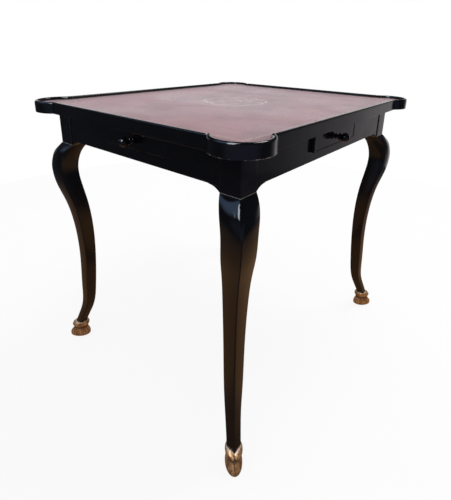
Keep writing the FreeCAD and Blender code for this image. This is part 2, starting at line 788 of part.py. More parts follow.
def make_runners(side):
    """Two channels that carry and guide a drawer, hung under the panel."""
    channels = []
    for end, word in ((1, "right"), (-1, "left")):
        low_x = "ledge_inner" if end > 0 else "-guide_outer"
        slot_x = "ledge_inner" if end > 0 else "-guide_inner"
        solid = add_box(
            f"runner_{side}_{word}_solid",
            (low_x, "apron_thickness", "runner_bottom"),
            ("guide_outer - ledge_inner", "runner_end - apron_thickness", "rim_bottom - runner_bottom"),
        )
        slot = add_box(
            f"runner_{side}_{word}_slot",
            (slot_x, "apron_thickness", "ledge_top"),
            ("guide_inner - ledge_inner", "runner_end - apron_thickness", "kicker_bottom - ledge_top"),
        )
        channels.append(cut(f"runner_{side}_{word}", solid, slot, side_frame(side)))
    return group(f"drawer_runners_{side}", channels)


def make_stop(side):
    """The bar across the runners' inner ends that a closed drawer meets."""
    return add_box(
        f"drawer_stop_{side}",
        ("-guide_outer", "runner_end", "runner_bottom"),
        ("2 * guide_outer", "stop_thickness", "rim_bottom - runner_bottom"),
        side_frame(side),
    )


def make_drawer_front(name, frame):
    """A drawer front with a sunk field inside a rounded bead, and a hole for the knob's spigot."""
    board = add_box(
        f"{name}_board",
        ("-drawer_front_width / 2", "0", "drawer_low"),
        ("drawer_front_width", "drawer_front_thickness", "drawer_front_height"),
    )
    rounded = round_edges(
        f"{name}_rounded",
        board,
        number("bead_radius"),
        lambda edge: edge.BoundBox.YMax < number("drawer_front_thickness") / 2,
    )
    field = add_box(
        f"{name}_field",
        ("bead_width - drawer_front_width / 2", "0", "drawer_low + bead_width"),
        ("drawer_front_width - 2 * bead_width", "bead_stand", "drawer_front_height - 2 * bead_width"),
    )
    hole = document.addObject("Part::Cylinder", f"{name}_hole")
    bind(hole, "Radius", "knob_spigot_radius + glue_gap")
    bind(hole, "Height", "bead_stand + knob_spigot_length + glue_gap")
    bind(hole, "Placement", turn_and_shift(-90, "0", "0", "drawer_middle", "1;0;0"))
    return cut(name, rounded, fuse(f"{name}_tools", [field, hole]), frame)


def make_drawer_side(name, end, frame):
    """A drawer side with a groove for the bottom."""
    low_x = "drawer_inner_half" if end > 0 else "-drawer_half_width"
    groove_x = "drawer_inner_half" if end > 0 else "-drawer_inner_half - drawer_groove_depth"
    board = add_box(
        f"{name}_board",
        (low_x, "drawer_front_thickness", "drawer_low"),
        ("drawer_side_thickness", "drawer_side_length", "drawer_side_height"),
    )
    groove = add_box(
        f"{name}_groove",
        (groove_x, "drawer_front_thickness", "drawer_bottom_low"),
        ("drawer_groove_depth", "drawer_side_length", "drawer_bottom_thickness"),
    )
    return cut(name, board, groove, frame)


def make_knob(name, frame):
    """A turned knob: spigot, foot, cove, neck and ball on the drawer front's field."""
    body = new_body(name)
    sketch = new_sketch(body, "XZ_Plane")
    ball = number("knob_ball_radius")
    reach = number("knob_reach")
    neck = number("knob_neck_radius")
    foot = number("knob_base_radius")
    foot_top = number("knob_base_thickness")
    cove_top = number("knob_cove_height")
    spigot = number("knob_spigot_radius")
    spigot_end = -number("knob_spigot_length")
    ball_start = reach - math.sqrt(ball**2 - neck**2)
    cove = ellipse_arc(Vector(foot, cove_top, 0), foot - neck, cove_top - foot_top, math.pi, 1.5 * math.pi)
    outline = (
        Part.LineSegment(Vector(0, spigot_end, 0), Vector(spigot, spigot_end, 0)),
        Part.LineSegment(Vector(spigot, spigot_end, 0), Vector(spigot, 0, 0)),
        Part.LineSegment(Vector(spigot, 0, 0), Vector(foot, 0, 0)),
        Part.LineSegment(Vector(foot, 0, 0), Vector(foot, foot_top, 0)),
        cove,
        Part.LineSegment(Vector(neck, cove_top, 0), Vector(neck, ball_start, 0)),
        Part.Arc(Vector(neck, ball_start, 0), Vector(ball, reach, 0), Vector(0, reach + ball, 0)),
        Part.LineSegment(Vector(0, reach + ball, 0), Vector(0, spigot_end, 0)),
    )
    draw_edges(sketch, outline)
    turned = body.newObject("PartDesign::Revolution", f"{name}_turned")
    turned.Profile = sketch
    turned.ReferenceAxis = (sketch, ["V_Axis"])
    turned.Angle = 360.0
    bind(body, "Placement", frame + " * " + turn_and_shift(90, "0", "bead_stand", "drawer_middle", "1;0;0"))
    return body


def make_drawer(side):
    """All the pieces of one drawer, by node name."""
    frame = side_frame(side, "right_drawer_ajar" if side == "right" else "0")
    name = f"drawer_{side}"
    back = add_box(
        f"{name}_back",
        ("-drawer_inner_half", "drawer_length - drawer_back_thickness", "drawer_floor"),
        ("2 * drawer_inner_half", "drawer_back_thickness", "drawer_back_top - drawer_floor"),
        frame,
    )
    bottom = add_box(
        f"{name}_bottom",
        ("-bottom_half_width", "drawer_front_thickness", "drawer_bottom_low"),
        ("2 * bottom_half_width", "drawer_side_length", "drawer_bottom_thickness"),
        frame,
    )
    return [
        make_drawer_front(f"{name}_front", frame),
        make_drawer_side(f"{name}_side_left", -1, frame),
        make_drawer_side(f"{name}_side_right", 1, frame),
        back,
        bottom,
        make_knob(f"{name}_knob", frame),
    ]


# ---------------------------------------------------------------- the whole table


def make_table():
    """Every node of the table."""
    nodes = [make_top_panel(), top_layer("playing_surface", "panel_top", "leather_thickness")]
    nodes += [make_rim(side) for side in SIDES]
    nodes += at_corners("turret_rim", make_turret_rim()).values()
    nodes += [make_apron(side) for side in SIDES]

    leg = make_leg()
    nodes += at_corners("leg", leg).values()
    nodes += at_corners("hoof", drill_hoof(*make_hoof(), leg)).values()
    nodes.append(group("hoof_pins", list(at_corners("hoof_pin", make_hoof_pin()).values())))

    for corner, (before, after) in CORNERS.items():
        nodes.append(group(f"knee_brackets_{corner}", [make_bracket(before, 1), make_bracket(after, -1)]))
    nodes.append(group("corner_blocks", list(at_corners("corner_block", make_corner_block()).values())))
    nodes.append(group("top_screws", list(at_corners("top_screw", make_top_screw()).values())))

    nodes += [make_runners(side) for side in SIDES]
    nodes.append(group("drawer_stops", [make_stop(side) for side in SIDES]))
    for side in SIDES:
        nodes += make_drawer(side)
    return nodes


def check_and_write(nodes):
    """Stops if any object failed, then writes each node's shape."""
    for item in document.Objects:
        if "Invalid" in item.State or "Error" in item.State:
            raise RuntimeError(f"{item.Label} failed: {item.State}")
    for node in nodes:
        if node.Shape.isNull() or not node.Shape.isValid() or not node.Shape.Solids:
            raise RuntimeError(f"{node.Label} has no valid solid")
    os.makedirs("parts", exist_ok=True)
    for node in nodes:
        node.Shape.exportStep(os.path.join("parts", f"{node.Label}.step"))


table_nodes = make_table()
document.recompute()
check_and_write(table_nodes)
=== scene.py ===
"""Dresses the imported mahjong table: lacquered rims, aprons and legs, leather, bronze hooves and drawers."""

import math

import bmesh
import bpy
import numpy as np
from mathutils import Matrix, Vector


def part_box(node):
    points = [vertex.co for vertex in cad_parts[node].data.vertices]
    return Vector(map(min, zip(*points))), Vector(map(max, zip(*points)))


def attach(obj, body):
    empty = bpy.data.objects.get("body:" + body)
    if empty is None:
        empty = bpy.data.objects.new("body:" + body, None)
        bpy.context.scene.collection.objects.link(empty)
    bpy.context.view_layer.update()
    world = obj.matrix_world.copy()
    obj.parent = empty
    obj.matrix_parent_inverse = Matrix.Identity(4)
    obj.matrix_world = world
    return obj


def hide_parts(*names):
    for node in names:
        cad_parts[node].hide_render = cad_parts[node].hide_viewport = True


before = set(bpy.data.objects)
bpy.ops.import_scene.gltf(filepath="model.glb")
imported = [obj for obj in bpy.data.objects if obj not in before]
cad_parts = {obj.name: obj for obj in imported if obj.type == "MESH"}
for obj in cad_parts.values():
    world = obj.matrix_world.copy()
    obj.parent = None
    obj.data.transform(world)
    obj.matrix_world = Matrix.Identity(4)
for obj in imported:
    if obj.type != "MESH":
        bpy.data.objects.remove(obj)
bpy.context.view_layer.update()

bl_info = {
    "name": "Mahjong table with drawers",
    "version": (1, 0, 0),
    "blender": (4, 5, 0),
    "location": "3D View > Sidebar > Table",
    "description": "A black lacquer game table with a leather top and four drawers",
    "category": "Object",
}

MM = 0.001
SIDES = ("front", "right", "back", "left")
CORNERS = {"front_right": (1, -1), "back_right": (1, 1), "back_left": (-1, 1), "front_left": (-1, -1)}

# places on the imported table, read from it but for the insets and the post's drop and side
RIM_LOW, RIM_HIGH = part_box("rim_front")[0].z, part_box("rim_front")[1].z
HALF_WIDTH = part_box("rim_right")[1].x
HALF_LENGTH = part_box("rim_back")[1].y
RIM_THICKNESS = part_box("rim_front")[1].y + HALF_LENGTH
TURRET_INSET = 44 * MM
TURRET_X, TURRET_Y = HALF_WIDTH - TURRET_INSET, HALF_LENGTH - TURRET_INSET
TURRET_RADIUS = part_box("turret_rim_front_right")[1].x - TURRET_X
INNER_INSET = TURRET_INSET - RIM_THICKNESS
FIELD_X, FIELD_Y = HALF_WIDTH - RIM_THICKNESS, HALF_LENGTH - RIM_THICKNESS
LEATHER_LOW, LEATHER_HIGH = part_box("playing_surface")[0].z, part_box("playing_surface")[1].z
EAR_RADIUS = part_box("playing_surface")[1].x - TURRET_X
POST_INSET, POST_DROP, POST_SIDE = 39 * MM, 88 * MM, 50 * MM
POST_X, POST_Y = HALF_WIDTH - POST_INSET, HALF_LENGTH - POST_INSET
POST_LOW = RIM_LOW - POST_DROP

# the gap at a rim board's hollowed ends, a drawer bead's height, how far a hoof's axis lies beyond the post's
# outer faces, and how much of each piece's edges is rubbed through, which on the legs also sets how the
# painted highlight along the knee's crease shows
RIM_GAP = 0.1 * MM
BEAD_STAND = 1.2 * MM
HOOF_OUT = 8 * MM
WEAR = {"rim": 0.12, "turret": 0.36, "leg": 0.46, "board": 0.24, "knob": 0.20}


# ---- sizes and colours a user would change


LENGTH = {"unit": "LENGTH", "subtype": "DISTANCE"}
COLOUR = {"size": 3, "min": 0.0, "max": 1.0, "subtype": "COLOR"}


class TableSizes(bpy.types.PropertyGroup):
    """Roundings and small forms of the table's pieces."""

    rim_rounding: bpy.props.FloatProperty(
        name="Rim rounding", description="Radius of the round corners' top edges, twice the rim boards'",
        default=4.8 * MM, min=0.5 * MM, max=4.9 * MM, **LENGTH,
    )
    arris_rounding: bpy.props.FloatProperty(
        name="Leg arris", description="Radius of the legs' corners below the post",
        default=3.4 * MM, min=0.5 * MM, max=8.0 * MM, **LENGTH,
    )
    knee_rounding: bpy.props.FloatProperty(
        name="Knee rounding", description="How much rounder the legs' outer corner is at the knee",
        default=9.0 * MM, min=0.0, max=14.0 * MM, **LENGTH,
    )
    face_crown: bpy.props.FloatProperty(
        name="Leg crown", description="How far the legs' faces bow out at the knee",
        default=1.4 * MM, min=0.0, max=4.0 * MM, **LENGTH,
    )
    bead_width: bpy.props.FloatProperty(
        name="Drawer bead", description="Width of the bead round each drawer front",
        default=3.5 * MM, min=1.0 * MM, max=8.0 * MM, **LENGTH,
    )
    cleft_depth: bpy.props.FloatProperty(
        name="Hoof cleft", description="Depth of the cleft at the hooves' toes",
        default=0.9 * MM, min=0.0, max=3.0 * MM, **LENGTH,
    )
    softening: bpy.props.FloatProperty(
        name="Board edges", description="Width of the softened edges of boards and brackets",
        default=0.7 * MM, min=0.1 * MM, max=2.0 * MM, **LENGTH,
    )


class TableFinishes(bpy.types.PropertyGroup):
    """Colours of the table's finishes."""

    lacquer: bpy.props.FloatVectorProperty(
        name="Lacquer", description="Black lacquer of the rims, aprons and legs",
        default=(0.0030, 0.0031, 0.0042), **COLOUR,
    )
    # painted reflection: this brown, laid on the legs low down, stands for the warm floor reflected in the
    # black lacquer
    painted_floor_reflection: bpy.props.FloatVectorProperty(
        name="Painted floor reflection", description="Brown painted low on the legs as the warm floor's reflection",
        default=(0.011, 0.0052, 0.0022), **COLOUR,
    )
    # real rubbed-through ground along edges, and also the painted highlight along the legs' knee crease
    bare_edge_and_highlight: bpy.props.FloatVectorProperty(
        name="Rubbed edge and highlight", description="Ground where the lacquer is rubbed through, and a painted highlight on the knee crease",
        default=(0.26, 0.24, 0.23), **COLOUR,
    )
    leather: bpy.props.FloatVectorProperty(
        name="Leather", description="Burgundy leather of the playing surface",
        default=(0.34, 0.085, 0.098), **COLOUR,
    )
    bronze: bpy.props.FloatVectorProperty(
        name="Bronze", description="Gilt bronze of the hooves",
        default=(0.70, 0.40, 0.18), **COLOUR,
    )
    beech: bpy.props.FloatVectorProperty(
        name="Beech", description="Bare beech inside the table",
        default=(0.46, 0.31, 0.18), **COLOUR,
    )


def sizes():
    """The sizes set in the panel."""
    return bpy.context.scene.mahjong_table_sizes


def finishes():
    """The colours set in the panel."""
    return bpy.context.scene.mahjong_table_finishes


# ---- surfaces


def smooth_step(value, low, high):
    """3 s squared minus 2 s cubed, where s runs from 0 at low to 1 at high."""
    s = np.clip((value - low) / (high - low), 0, 1)
    return s * s * (3 - 2 * s)


def smooth_curve(knots, values, at):
    """Natural cubic spline: a cubic between two knots, with equal slope and bend where two cubics meet."""
    gap = np.diff(knots)[:, None]
    inner = np.arange(1, len(knots) - 1)
    system = np.eye(len(knots))
    system[inner, inner - 1] = gap[:-1, 0]
    system[inner, inner] = 2 * (gap[:-1, 0] + gap[1:, 0])
    system[inner, inner + 1] = gap[1:, 0]
    turn = np.zeros_like(values)
    turn[1:-1] = 6 * np.diff(np.diff(values, axis=0) / gap, axis=0)
    bend = np.linalg.solve(system, turn)
    i = np.clip(np.searchsorted(knots, at) - 1, 0, len(knots) - 2)
    b = ((at - knots[i]) / gap[i, 0])[:, None]
    a = 1 - b
    bow = ((a**3 - a) * bend[i] + (b**3 - b) * bend[i + 1]) * gap[i] ** 2 / 6
    return a * values[i] + b * values[i + 1] + bow


def outward(points, faces):
    """The faces turned so that the shell's volume, a sixth of the sum of their corners' triple products, is
    positive."""
    a, b, c = (points[faces[:, i]] for i in range(3))
    d = points[faces[:, -1]]
    volume = np.einsum("ij,ij->", a, np.cross(b, c)) + np.einsum("ij,ij->", a, np.cross(c, d))
    return faces[:, ::-1] if volume < 0 else faces


def shell_faces(rows, columns):
    """Four-sided faces between neighbouring points of closed rings, and a fan from each end ring to its
    middle."""
    r, c = np.meshgrid(np.arange(rows - 1), np.arange(columns), indexing="ij")
    after = (c + 1) % columns
    low, high = r * columns, (r + 1) * columns
    sides = np.stack([low + c, low + after, high + after, high + c], -1)
    ring = np.arange(columns)
    beside = (ring + 1) % columns
    first, last = rows * columns, rows * columns + 1
    end = (rows - 1) * columns
    first_fan = np.stack([np.full(columns, first), beside, ring], -1)
    last_fan = np.stack([np.full(columns, last), end + ring, end + beside], -1)
    return sides.reshape(-1, 4), np.concatenate([first_fan, last_fan])


def add_shell(name, rings, edge=None, sharp=35.0):
    """A closed shell through rings of points, rows by columns by three, and how near each lies to an edge."""
    rows, columns = rings.shape[:2]
    points = np.concatenate([rings.reshape(-1, 3), rings[:1].mean(1), rings[-1:].mean(1)])
    sides, caps = shell_faces(rows, columns)
    flat = np.concatenate([sides, np.column_stack([caps, caps[:, 2]])])
    if not np.array_equal(outward(points, flat), flat):
        sides, caps = sides[:, ::-1], caps[:, ::-1]
    mesh = bpy.data.meshes.new(name)
    mesh.from_pydata(points.tolist(), [], sides.tolist() + caps.tolist())
    near = np.zeros(len(points), np.float32)
    if edge is not None:
        near[: rows * columns] = np.broadcast_to(edge, (rows, columns)).reshape(-1)
    mesh.attributes.new("edge", "FLOAT", "POINT").data.foreach_set("value", near)
    mesh.shade_smooth()
    mesh.set_sharp_from_angle(angle=math.radians(sharp))
    return add_object(name, mesh)


def add_object(name, data):
    """A new object in the scene, at the origin."""
    made = bpy.data.objects.new(name, data)
    bpy.context.scene.collection.objects.link(made)
    return made


def dress(piece, material, slot, body, *nodes):
    """Gives a finished piece its material and body, and hides the nodes it stands for. The slot is not used.
    """
    piece.data.materials.clear()
    piece.data.materials.append(material)
    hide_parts(*nodes)
    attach(piece, body)


def side_turn(side):
    """The quarter turns that bring the front to a side, as a matrix on X and Y."""
    turn = SIDES.index(side) * math.pi / 2
    return np.array([[math.cos(turn), math.sin(turn), 0], [-math.sin(turn), math.cos(turn), 0], [0, 0, 1]])


def half_circle_edge(radius, high, thickness, low=0.3 * MM, steps=7):
    """A board's section, with quarter circles as top edges and eased lower edges, and how near each of its
    points lies to an edge."""
    turn = np.linspace(0, math.pi / 2, steps)
    across, up = radius * (1 - np.sin(turn)), high - radius * (1 - np.cos(turn))
    outer_top = np.stack([across, up], -1)[::-1]
    inner_top = np.stack([thickness - across, up], -1)
    inner_low = [[thickness, low], [thickness - low, 0]]
    outer_low = [[low, 0], [0, low]]
    wall = np.linspace(low, high - radius, 7)[1:-1]
    outer_wall = np.stack([np.zeros_like(wall), wall], -1)
    inner_wall = np.stack([np.full_like(wall, thickness), wall[::-1]], -1)
    section = np.concatenate([outer_wall, outer_top, inner_top, inner_wall, inner_low, outer_low])
    tops = [np.linspace(0.1, 0.75, steps), np.linspace(0.75, 0.1, steps)]
    near = np.concatenate([[0.5, 0, 0, 0, 0], *tops, np.zeros_like(wall), [0.8, 0.8, 1, 1]])
    return section, near


# ---- shader helpers and shared groups


def add_node(tree, kind, inputs=None, **settings):
    """A node with its settings, and its inputs given as numbers or as other nodes' outputs."""
    made = tree.nodes.new(kind)
    for key, value in settings.items():
        setattr(made, key, value)
    for key, value in (inputs or {}).items():
        if isinstance(value, bpy.types.NodeSocket):
            tree.links.new(value, made.inputs[key])
        else:
            made.inputs[key].default_value = value
    return made


def maths(tree, operation, *values):
    """One step of arithmetic on numbers or outputs."""
    return add_node(tree, "ShaderNodeMath", dict(enumerate(values)), operation=operation).outputs[0]


def times(tree, first, second):
    """The product."""
    return maths(tree, "MULTIPLY", first, second)


def plus(tree, first, second):
    """The sum."""
    return maths(tree, "ADD", first, second)


def minus(tree, first, second):
    """The first less the second."""
    return maths(tree, "SUBTRACT", first, second)


def larger(tree, first, second):
    """The larger of the two."""
    return maths(tree, "MAXIMUM", first, second)


def pointing(tree, way, toward):
    """How far a direction points toward another: 1 along it, -1 against it."""
    made = add_node(tree, "ShaderNodeVectorMath", {0: way, 1: toward}, operation="DOT_PRODUCT")
    return made.outputs["Value"]


def mirror_rays(tree, light):
    """1 for what gloss and glass see, 0 for all other rays."""
    return larger(tree, light["Is Glossy Ray"], light["Is Transmission Ray"])


def tinted(colour, factors):
    """A colour with its red, green and blue each made stronger or weaker."""
    return tuple(part * factor for part, factor in zip(colour, factors))


def mix_colours(tree, factor, first, second):
    """The first colour where the factor is 0, the second where it is 1."""
    inputs = {0: factor}
    for key, value in ((6, first), (7, second)):
        inputs[key] = value if isinstance(value, bpy.types.NodeSocket) else (*value[:3], 1)
    return add_node(tree, "ShaderNodeMix", inputs, data_type="RGBA").outputs[2]


def ramp(tree, value, low, high, to_low=0.0, to_high=1.0):
    """A smooth rise from one value to another."""
    inputs = {"Value": value, "From Min": low, "From Max": high, "To Min": to_low, "To Max": to_high}
    return add_node(tree, "ShaderNodeMapRange", inputs, interpolation_type="SMOOTHSTEP").outputs[0]


def start_group(name, inputs, outputs):
    """A new shader node group: inputs by name and default, None for a place, and outputs, all numbers."""
    tree = bpy.data.node_groups.new(name, "ShaderNodeTree")
    for label, default in inputs:
        kind = "NodeSocketVector" if default is None else "NodeSocketFloat"
        socket = tree.interface.new_socket(label, in_out="INPUT", socket_type=kind)
        if default is not None:
            socket.default_value = default
    for label in outputs:
        tree.interface.new_socket(label, in_out="OUTPUT", socket_type="NodeSocketFloat")
    return tree, tree.nodes.new("NodeGroupInput").outputs, tree.nodes.new("NodeGroupOutput").inputs


def object_place(tree, stretch=(1, 1, 1)):
    """The point's place on the piece, stretched along its axes."""
    place = tree.nodes.new("ShaderNodeTexCoord").outputs["Object"]
    return add_node(tree, "ShaderNodeMapping", {"Vector": place, "Scale": stretch}).outputs[0]


def noise(tree, place, scale, detail=4.0, roughness=0.55):
    """Soft noise from 0 to 1."""
    inputs = {"Vector": place, "Scale": scale, "Detail": detail, "Roughness": roughness}
    return add_node(tree, "ShaderNodeTexNoise", inputs).outputs["Fac"]


def make_edge_wear_and_highlight():
    """Group: a mask of broken, rubbed lines along the edges that the pieces mark, which on the legs' knee
    crease is a painted highlight.
    """
    tree, given, result = start_group("Edge wear and crease highlight", (("Scale", 60.0), ("Amount", 0.5)), ("Mask",))
    near = add_node(tree, "ShaderNodeAttribute", attribute_name="edge").outputs["Fac"]
    broken = noise(tree, object_place(tree), given["Scale"], 5.0, 0.65)
    total = plus(tree, times(tree, near, 0.75), times(tree, broken, 0.9))
    start = minus(tree, 1.5, given["Amount"])
    tree.links.new(ramp(tree, total, start, plus(tree, start, 0.12)), result["Mask"])
    return tree


def make_surface_dust():
    """Group: a mask of fine dust specks and a thin haze, and a slow waviness as a height."""
    scales = (("Dust scale", 260.0), ("Wave scale", 7.0))
    tree, given, result = start_group("Dust and waviness", scales, ("Dust", "Height"))
    place = object_place(tree)
    specks = add_node(tree, "ShaderNodeTexVoronoi", {"Vector": place, "Scale": given["Dust scale"]})
    chosen = add_node(tree, "ShaderNodeSeparateColor", {"Color": specks.outputs["Color"]}).outputs[0]
    small = ramp(tree, specks.outputs["Distance"], 0.16, 0.05)
    spots = times(tree, small, ramp(tree, chosen, 0.93, 0.95))
    haze = ramp(tree, noise(tree, object_place(tree, (1, 1, 3)), 14.0, 6.0, 0.7), 0.45, 0.75, 0.0, 0.3)
    tree.links.new(larger(tree, spots, haze), result["Dust"])
    tree.links.new(noise(tree, place, given["Wave scale"], 2.0, 0.4), result["Height"])
    return tree


def make_wood_grain():
    """Group: fibres as a mask and a height. They run along the axis on which the given place is squeezed."""
    inputs = (("Fibre scale", 90.0), ("Place", None))
    tree, given, result = start_group("Wood grain", inputs, ("Grain", "Height"))
    place = given["Place"]
    slow = noise(tree, place, 9.0, 3.0, 0.5)
    fibres = noise(tree, place, given["Fibre scale"], 5.0, 0.7)
    rays = ramp(tree, noise(tree, place, 300.0, 2.0, 0.6), 0.62, 0.72)
    grain = plus(tree, times(tree, slow, 0.6), times(tree, fibres, 0.4))
    tree.links.new(grain, result["Grain"])
    tree.links.new(plus(tree, fibres, times(tree, rays, 0.4)), result["Height"])
    return tree


def place_group(tree, name, maker, inputs=None):
    """A shared group, made the first time, placed in a material with its own values; gives its outputs."""
    group = bpy.data.node_groups.get(name) or maker()
    return add_node(tree, "ShaderNodeGroup", inputs, node_tree=group).outputs


def start_material(name, constants):
    """A material with one Principled shader whose even values are set on its own sockets."""
    found = bpy.data.materials.get(name)
    if found:
        return found, None, None
    made = bpy.data.materials.new(name)
    made.use_nodes = True
    tree = made.node_tree
    shader = tree.nodes["Principled BSDF"]
    for key, value in constants.items():
        shader.inputs[key].default_value = value
    return made, tree, shader


def bump(tree, shader, height, strength, distance):
    """Feeds a height to the shader's normal."""
    made = add_node(tree, "ShaderNodeBump", {"Height": height, "Strength": strength, "Distance": distance})
    tree.links.new(made.outputs[0], shader.inputs["Normal"])


def black_lacquer(wear):
    """Black lacquer, with brown painted low down as the warm floor's reflection, rubbed through along edges,
    with dust in its gloss; the rubbed colour on the legs' knee crease is a painted highlight.
    """
    made, tree, shader = start_material(f"Black lacquer {wear:.2f}", {"IOR": 1.5})
    if tree is None:
        return made
    colours = finishes()
    place = object_place(tree)
    up = add_node(tree, "ShaderNodeSeparateXYZ", {"Vector": place}).outputs[2]
    uneven = times(tree, noise(tree, place, 5.0), 0.10)
    # painted reflection: from 0.66 m down to 0.46 m the black turns brown, standing in for the warm floor
    # reflected in the lacquer
    brown = ramp(tree, plus(tree, up, uneven), 0.66, 0.46)
    body = mix_colours(tree, brown, colours.lacquer, colours.painted_floor_reflection)
    dust = place_group(tree, "Dust and waviness", make_surface_dust)
    dusty = mix_colours(tree, times(tree, dust["Dust"], 0.05), body, (0.14, 0.13, 0.13))
    # the rubbed mask is real wear along the edges, and on the legs' knee crease a painted highlight
    rubbed = place_group(tree, "Edge wear and crease highlight", make_edge_wear_and_highlight, {"Scale": 55.0, "Amount": wear})["Mask"]
    tree.links.new(mix_colours(tree, rubbed, dusty, colours.bare_edge_and_highlight), shader.inputs["Base Color"])
    rough = plus(tree, 0.13, times(tree, dust["Dust"], 0.22))
    tree.links.new(plus(tree, rough, times(tree, rubbed, 0.3)), shader.inputs["Roughness"])
    bump(tree, shader, minus(tree, dust["Height"], times(tree, rubbed, 0.02)), 0.25, 0.004)
    return made


def red_leather():
    """Burgundy leather: mottled, finely grained, creased, with a faint tooled border and a plain rosette. Its
    colour
    also carries painted light: greyish sheen patches, shade and dark reflection along the rims, and shade in
    the creases.
    """
    even = {"IOR": 1.5, "Specular IOR Level": 0.8, "Sheen Weight": 0.8, "Sheen Roughness": 0.45}
    even["Sheen Tint"] = (1.0, 0.95, 1.0, 1.0)
    made, tree, shader = start_material("Red leather", even)
    if tree is None:
        return made
    colours = finishes()
    place = object_place(tree)
    x, y, _ = add_node(tree, "ShaderNodeSeparateXYZ", {"Vector": place}).outputs
    across = minus(tree, FIELD_X, maths(tree, "ABSOLUTE", x))
    along = minus(tree, FIELD_Y, maths(tree, "ABSOLUTE", y))
    inside = maths(tree, "MINIMUM", across, along)
    radius = maths(tree, "SQRT", plus(tree, times(tree, x, x), times(tree, y, y)))
    angle = maths(tree, "ARCTAN2", y, x)

    def line(value, middle, width):
        """A tooled line where the value is near the middle."""
        return ramp(tree, maths(tree, "ABSOLUTE", minus(tree, value, middle)), width, width * 0.4)

    def scalloped(count, size):
        """The radius less a wave of lobes round the middle."""
        wave = maths(tree, "ABSOLUTE", maths(tree, "COSINE", times(tree, angle, count / 2)))
        return minus(tree, radius, times(tree, wave, size))

    tooled = line(inside, 20 * MM, 0.8 * MM)
    for value, middle, width in (
        (inside, 25 * MM, 0.5 * MM),
        (scalloped(8, 22 * MM), 70 * MM, 2.6 * MM),
        (scalloped(16, 7 * MM), 84 * MM, 2.0 * MM),
        (scalloped(8, 16 * MM), 34 * MM, 2.4 * MM),
        (radius, 18 * MM, 2.0 * MM),
    ):
        tooled = larger(tree, tooled, line(value, middle, width))
    worn = ramp(tree, noise(tree, place, 45.0, 4.0, 0.7), 0.34, 0.50)
    gilt = times(tree, tooled, worn)
    mottle = ramp(tree, noise(tree, place, 9.0, 6.0, 0.65), 0.40, 0.60)
    deep = tinted(colours.leather, (0.60, 0.36, 0.38))
    body = mix_colours(tree, mottle, deep, colours.leather)
    broad = noise(tree, object_place(tree, (1.0, 0.55, 1.0)), 2.3, 3.0, 0.5)
    blush = ramp(tree, broad, 0.42, 0.60, 0.0, 0.75)
    body = mix_colours(tree, blush, body, tinted(colours.leather, (1.2, 0.42, 0.50)))
    # painted sheen: greyish patches in the leather's colour stand for the room's glare on it
    painted_sheen = ramp(tree, noise(tree, object_place(tree, (0.5, 1.0, 1.0)), 3.1, 4.0, 0.6), 0.40, 0.68, 0.0, 0.5)
    body = mix_colours(tree, painted_sheen, body, (0.44, 0.30, 0.32))
    # painted shade: within about 42 mm of the rims the leather turns deep red, standing for the rims' shadow
    # and their dark reflection in it
    painted_rim_shade = ramp(tree, plus(tree, inside, times(tree, mottle, 12 * MM)), 42 * MM, 6 * MM)
    body = mix_colours(tree, painted_rim_shade, body, tinted(colours.leather, (0.62, 0.22, 0.24)))
    folds = noise(tree, object_place(tree, (0.8, 3.2, 1.0)), 2.6, 3.0, 0.5)
    crease = ramp(tree, maths(tree, "ABSOLUTE", minus(tree, folds, 0.52)), 0.014, 0.0)
    crease = times(tree, crease, ramp(tree, noise(tree, place, 4.0, 2.0), 0.46, 0.60))
    # painted shade: the fold lines are darkened in colour as well as sunk by the bump
    body = mix_colours(tree, times(tree, crease, 0.4), body, (0.10, 0.026, 0.032))
    tree.links.new(mix_colours(tree, gilt, body, (0.82, 0.76, 0.58)), shader.inputs["Base Color"])
    pores = add_node(tree, "ShaderNodeTexVoronoi", {"Vector": place, "Scale": 420.0}).outputs["Distance"]
    rough = 0.34
    for mask, polish in ((mottle, 0.06), (painted_sheen, 0.06), (painted_rim_shade, 0.06), (gilt, 0.12)):
        rough = minus(tree, rough, times(tree, mask, polish))
    tree.links.new(rough, shader.inputs["Roughness"])
    height = minus(tree, times(tree, pores, 0.10), times(tree, crease, 0.10))
    height = minus(tree, height, times(tree, tooled, 0.12))
    height = plus(tree, height, times(tree, noise(tree, place, 4.0, 3.0), 0.7))
    bump(tree, shader, height, 0.3, 0.0016)
    return made


def gilt_bronze():
    """Gilt bronze: lighter on the lips, partly rubbed gilt and partly a painted highlight, brown patina in
    the hollows, finely chased.
    """
    made, tree, shader = start_material("Gilt bronze", {"IOR": 1.5})
    if tree is None:
        return made
    colours = finishes()
    place = object_place(tree)
    low = add_node(tree, "ShaderNodeAttribute", attribute_name="edge").outputs["Fac"]
    blotches = noise(tree, place, 70.0, 5.0, 0.65)
    hollow = plus(tree, times(tree, low, 0.8), times(tree, blotches, 0.7))
    hollow = ramp(tree, hollow, 0.38, 1.0)
    streaks = noise(tree, object_place(tree, (1, 1, 0.18)), 160.0, 3.0, 0.6)
    brown = tinted(colours.bronze, (0.50, 0.40, 0.32))
    warm = mix_colours(tree, ramp(tree, streaks, 0.38, 0.62), brown, colours.bronze)
    # where the edge value is below zero, on the lips, the bronze turns light cream: partly rubbed gilt,
    # partly a painted highlight
    warm = mix_colours(tree, ramp(tree, low, -0.3, -0.9), warm, (0.74, 0.54, 0.38))
    tree.links.new(mix_colours(tree, hollow, warm, (0.16, 0.078, 0.034)), shader.inputs["Base Color"])
    tree.links.new(minus(tree, 0.5, times(tree, hollow, 0.3)), shader.inputs["Metallic"])
    tree.links.new(plus(tree, 0.40, times(tree, hollow, 0.2)), shader.inputs["Roughness"])
    bump(tree, shader, plus(tree, times(tree, streaks, 0.4), blotches), 0.3, 0.0010)
    return made


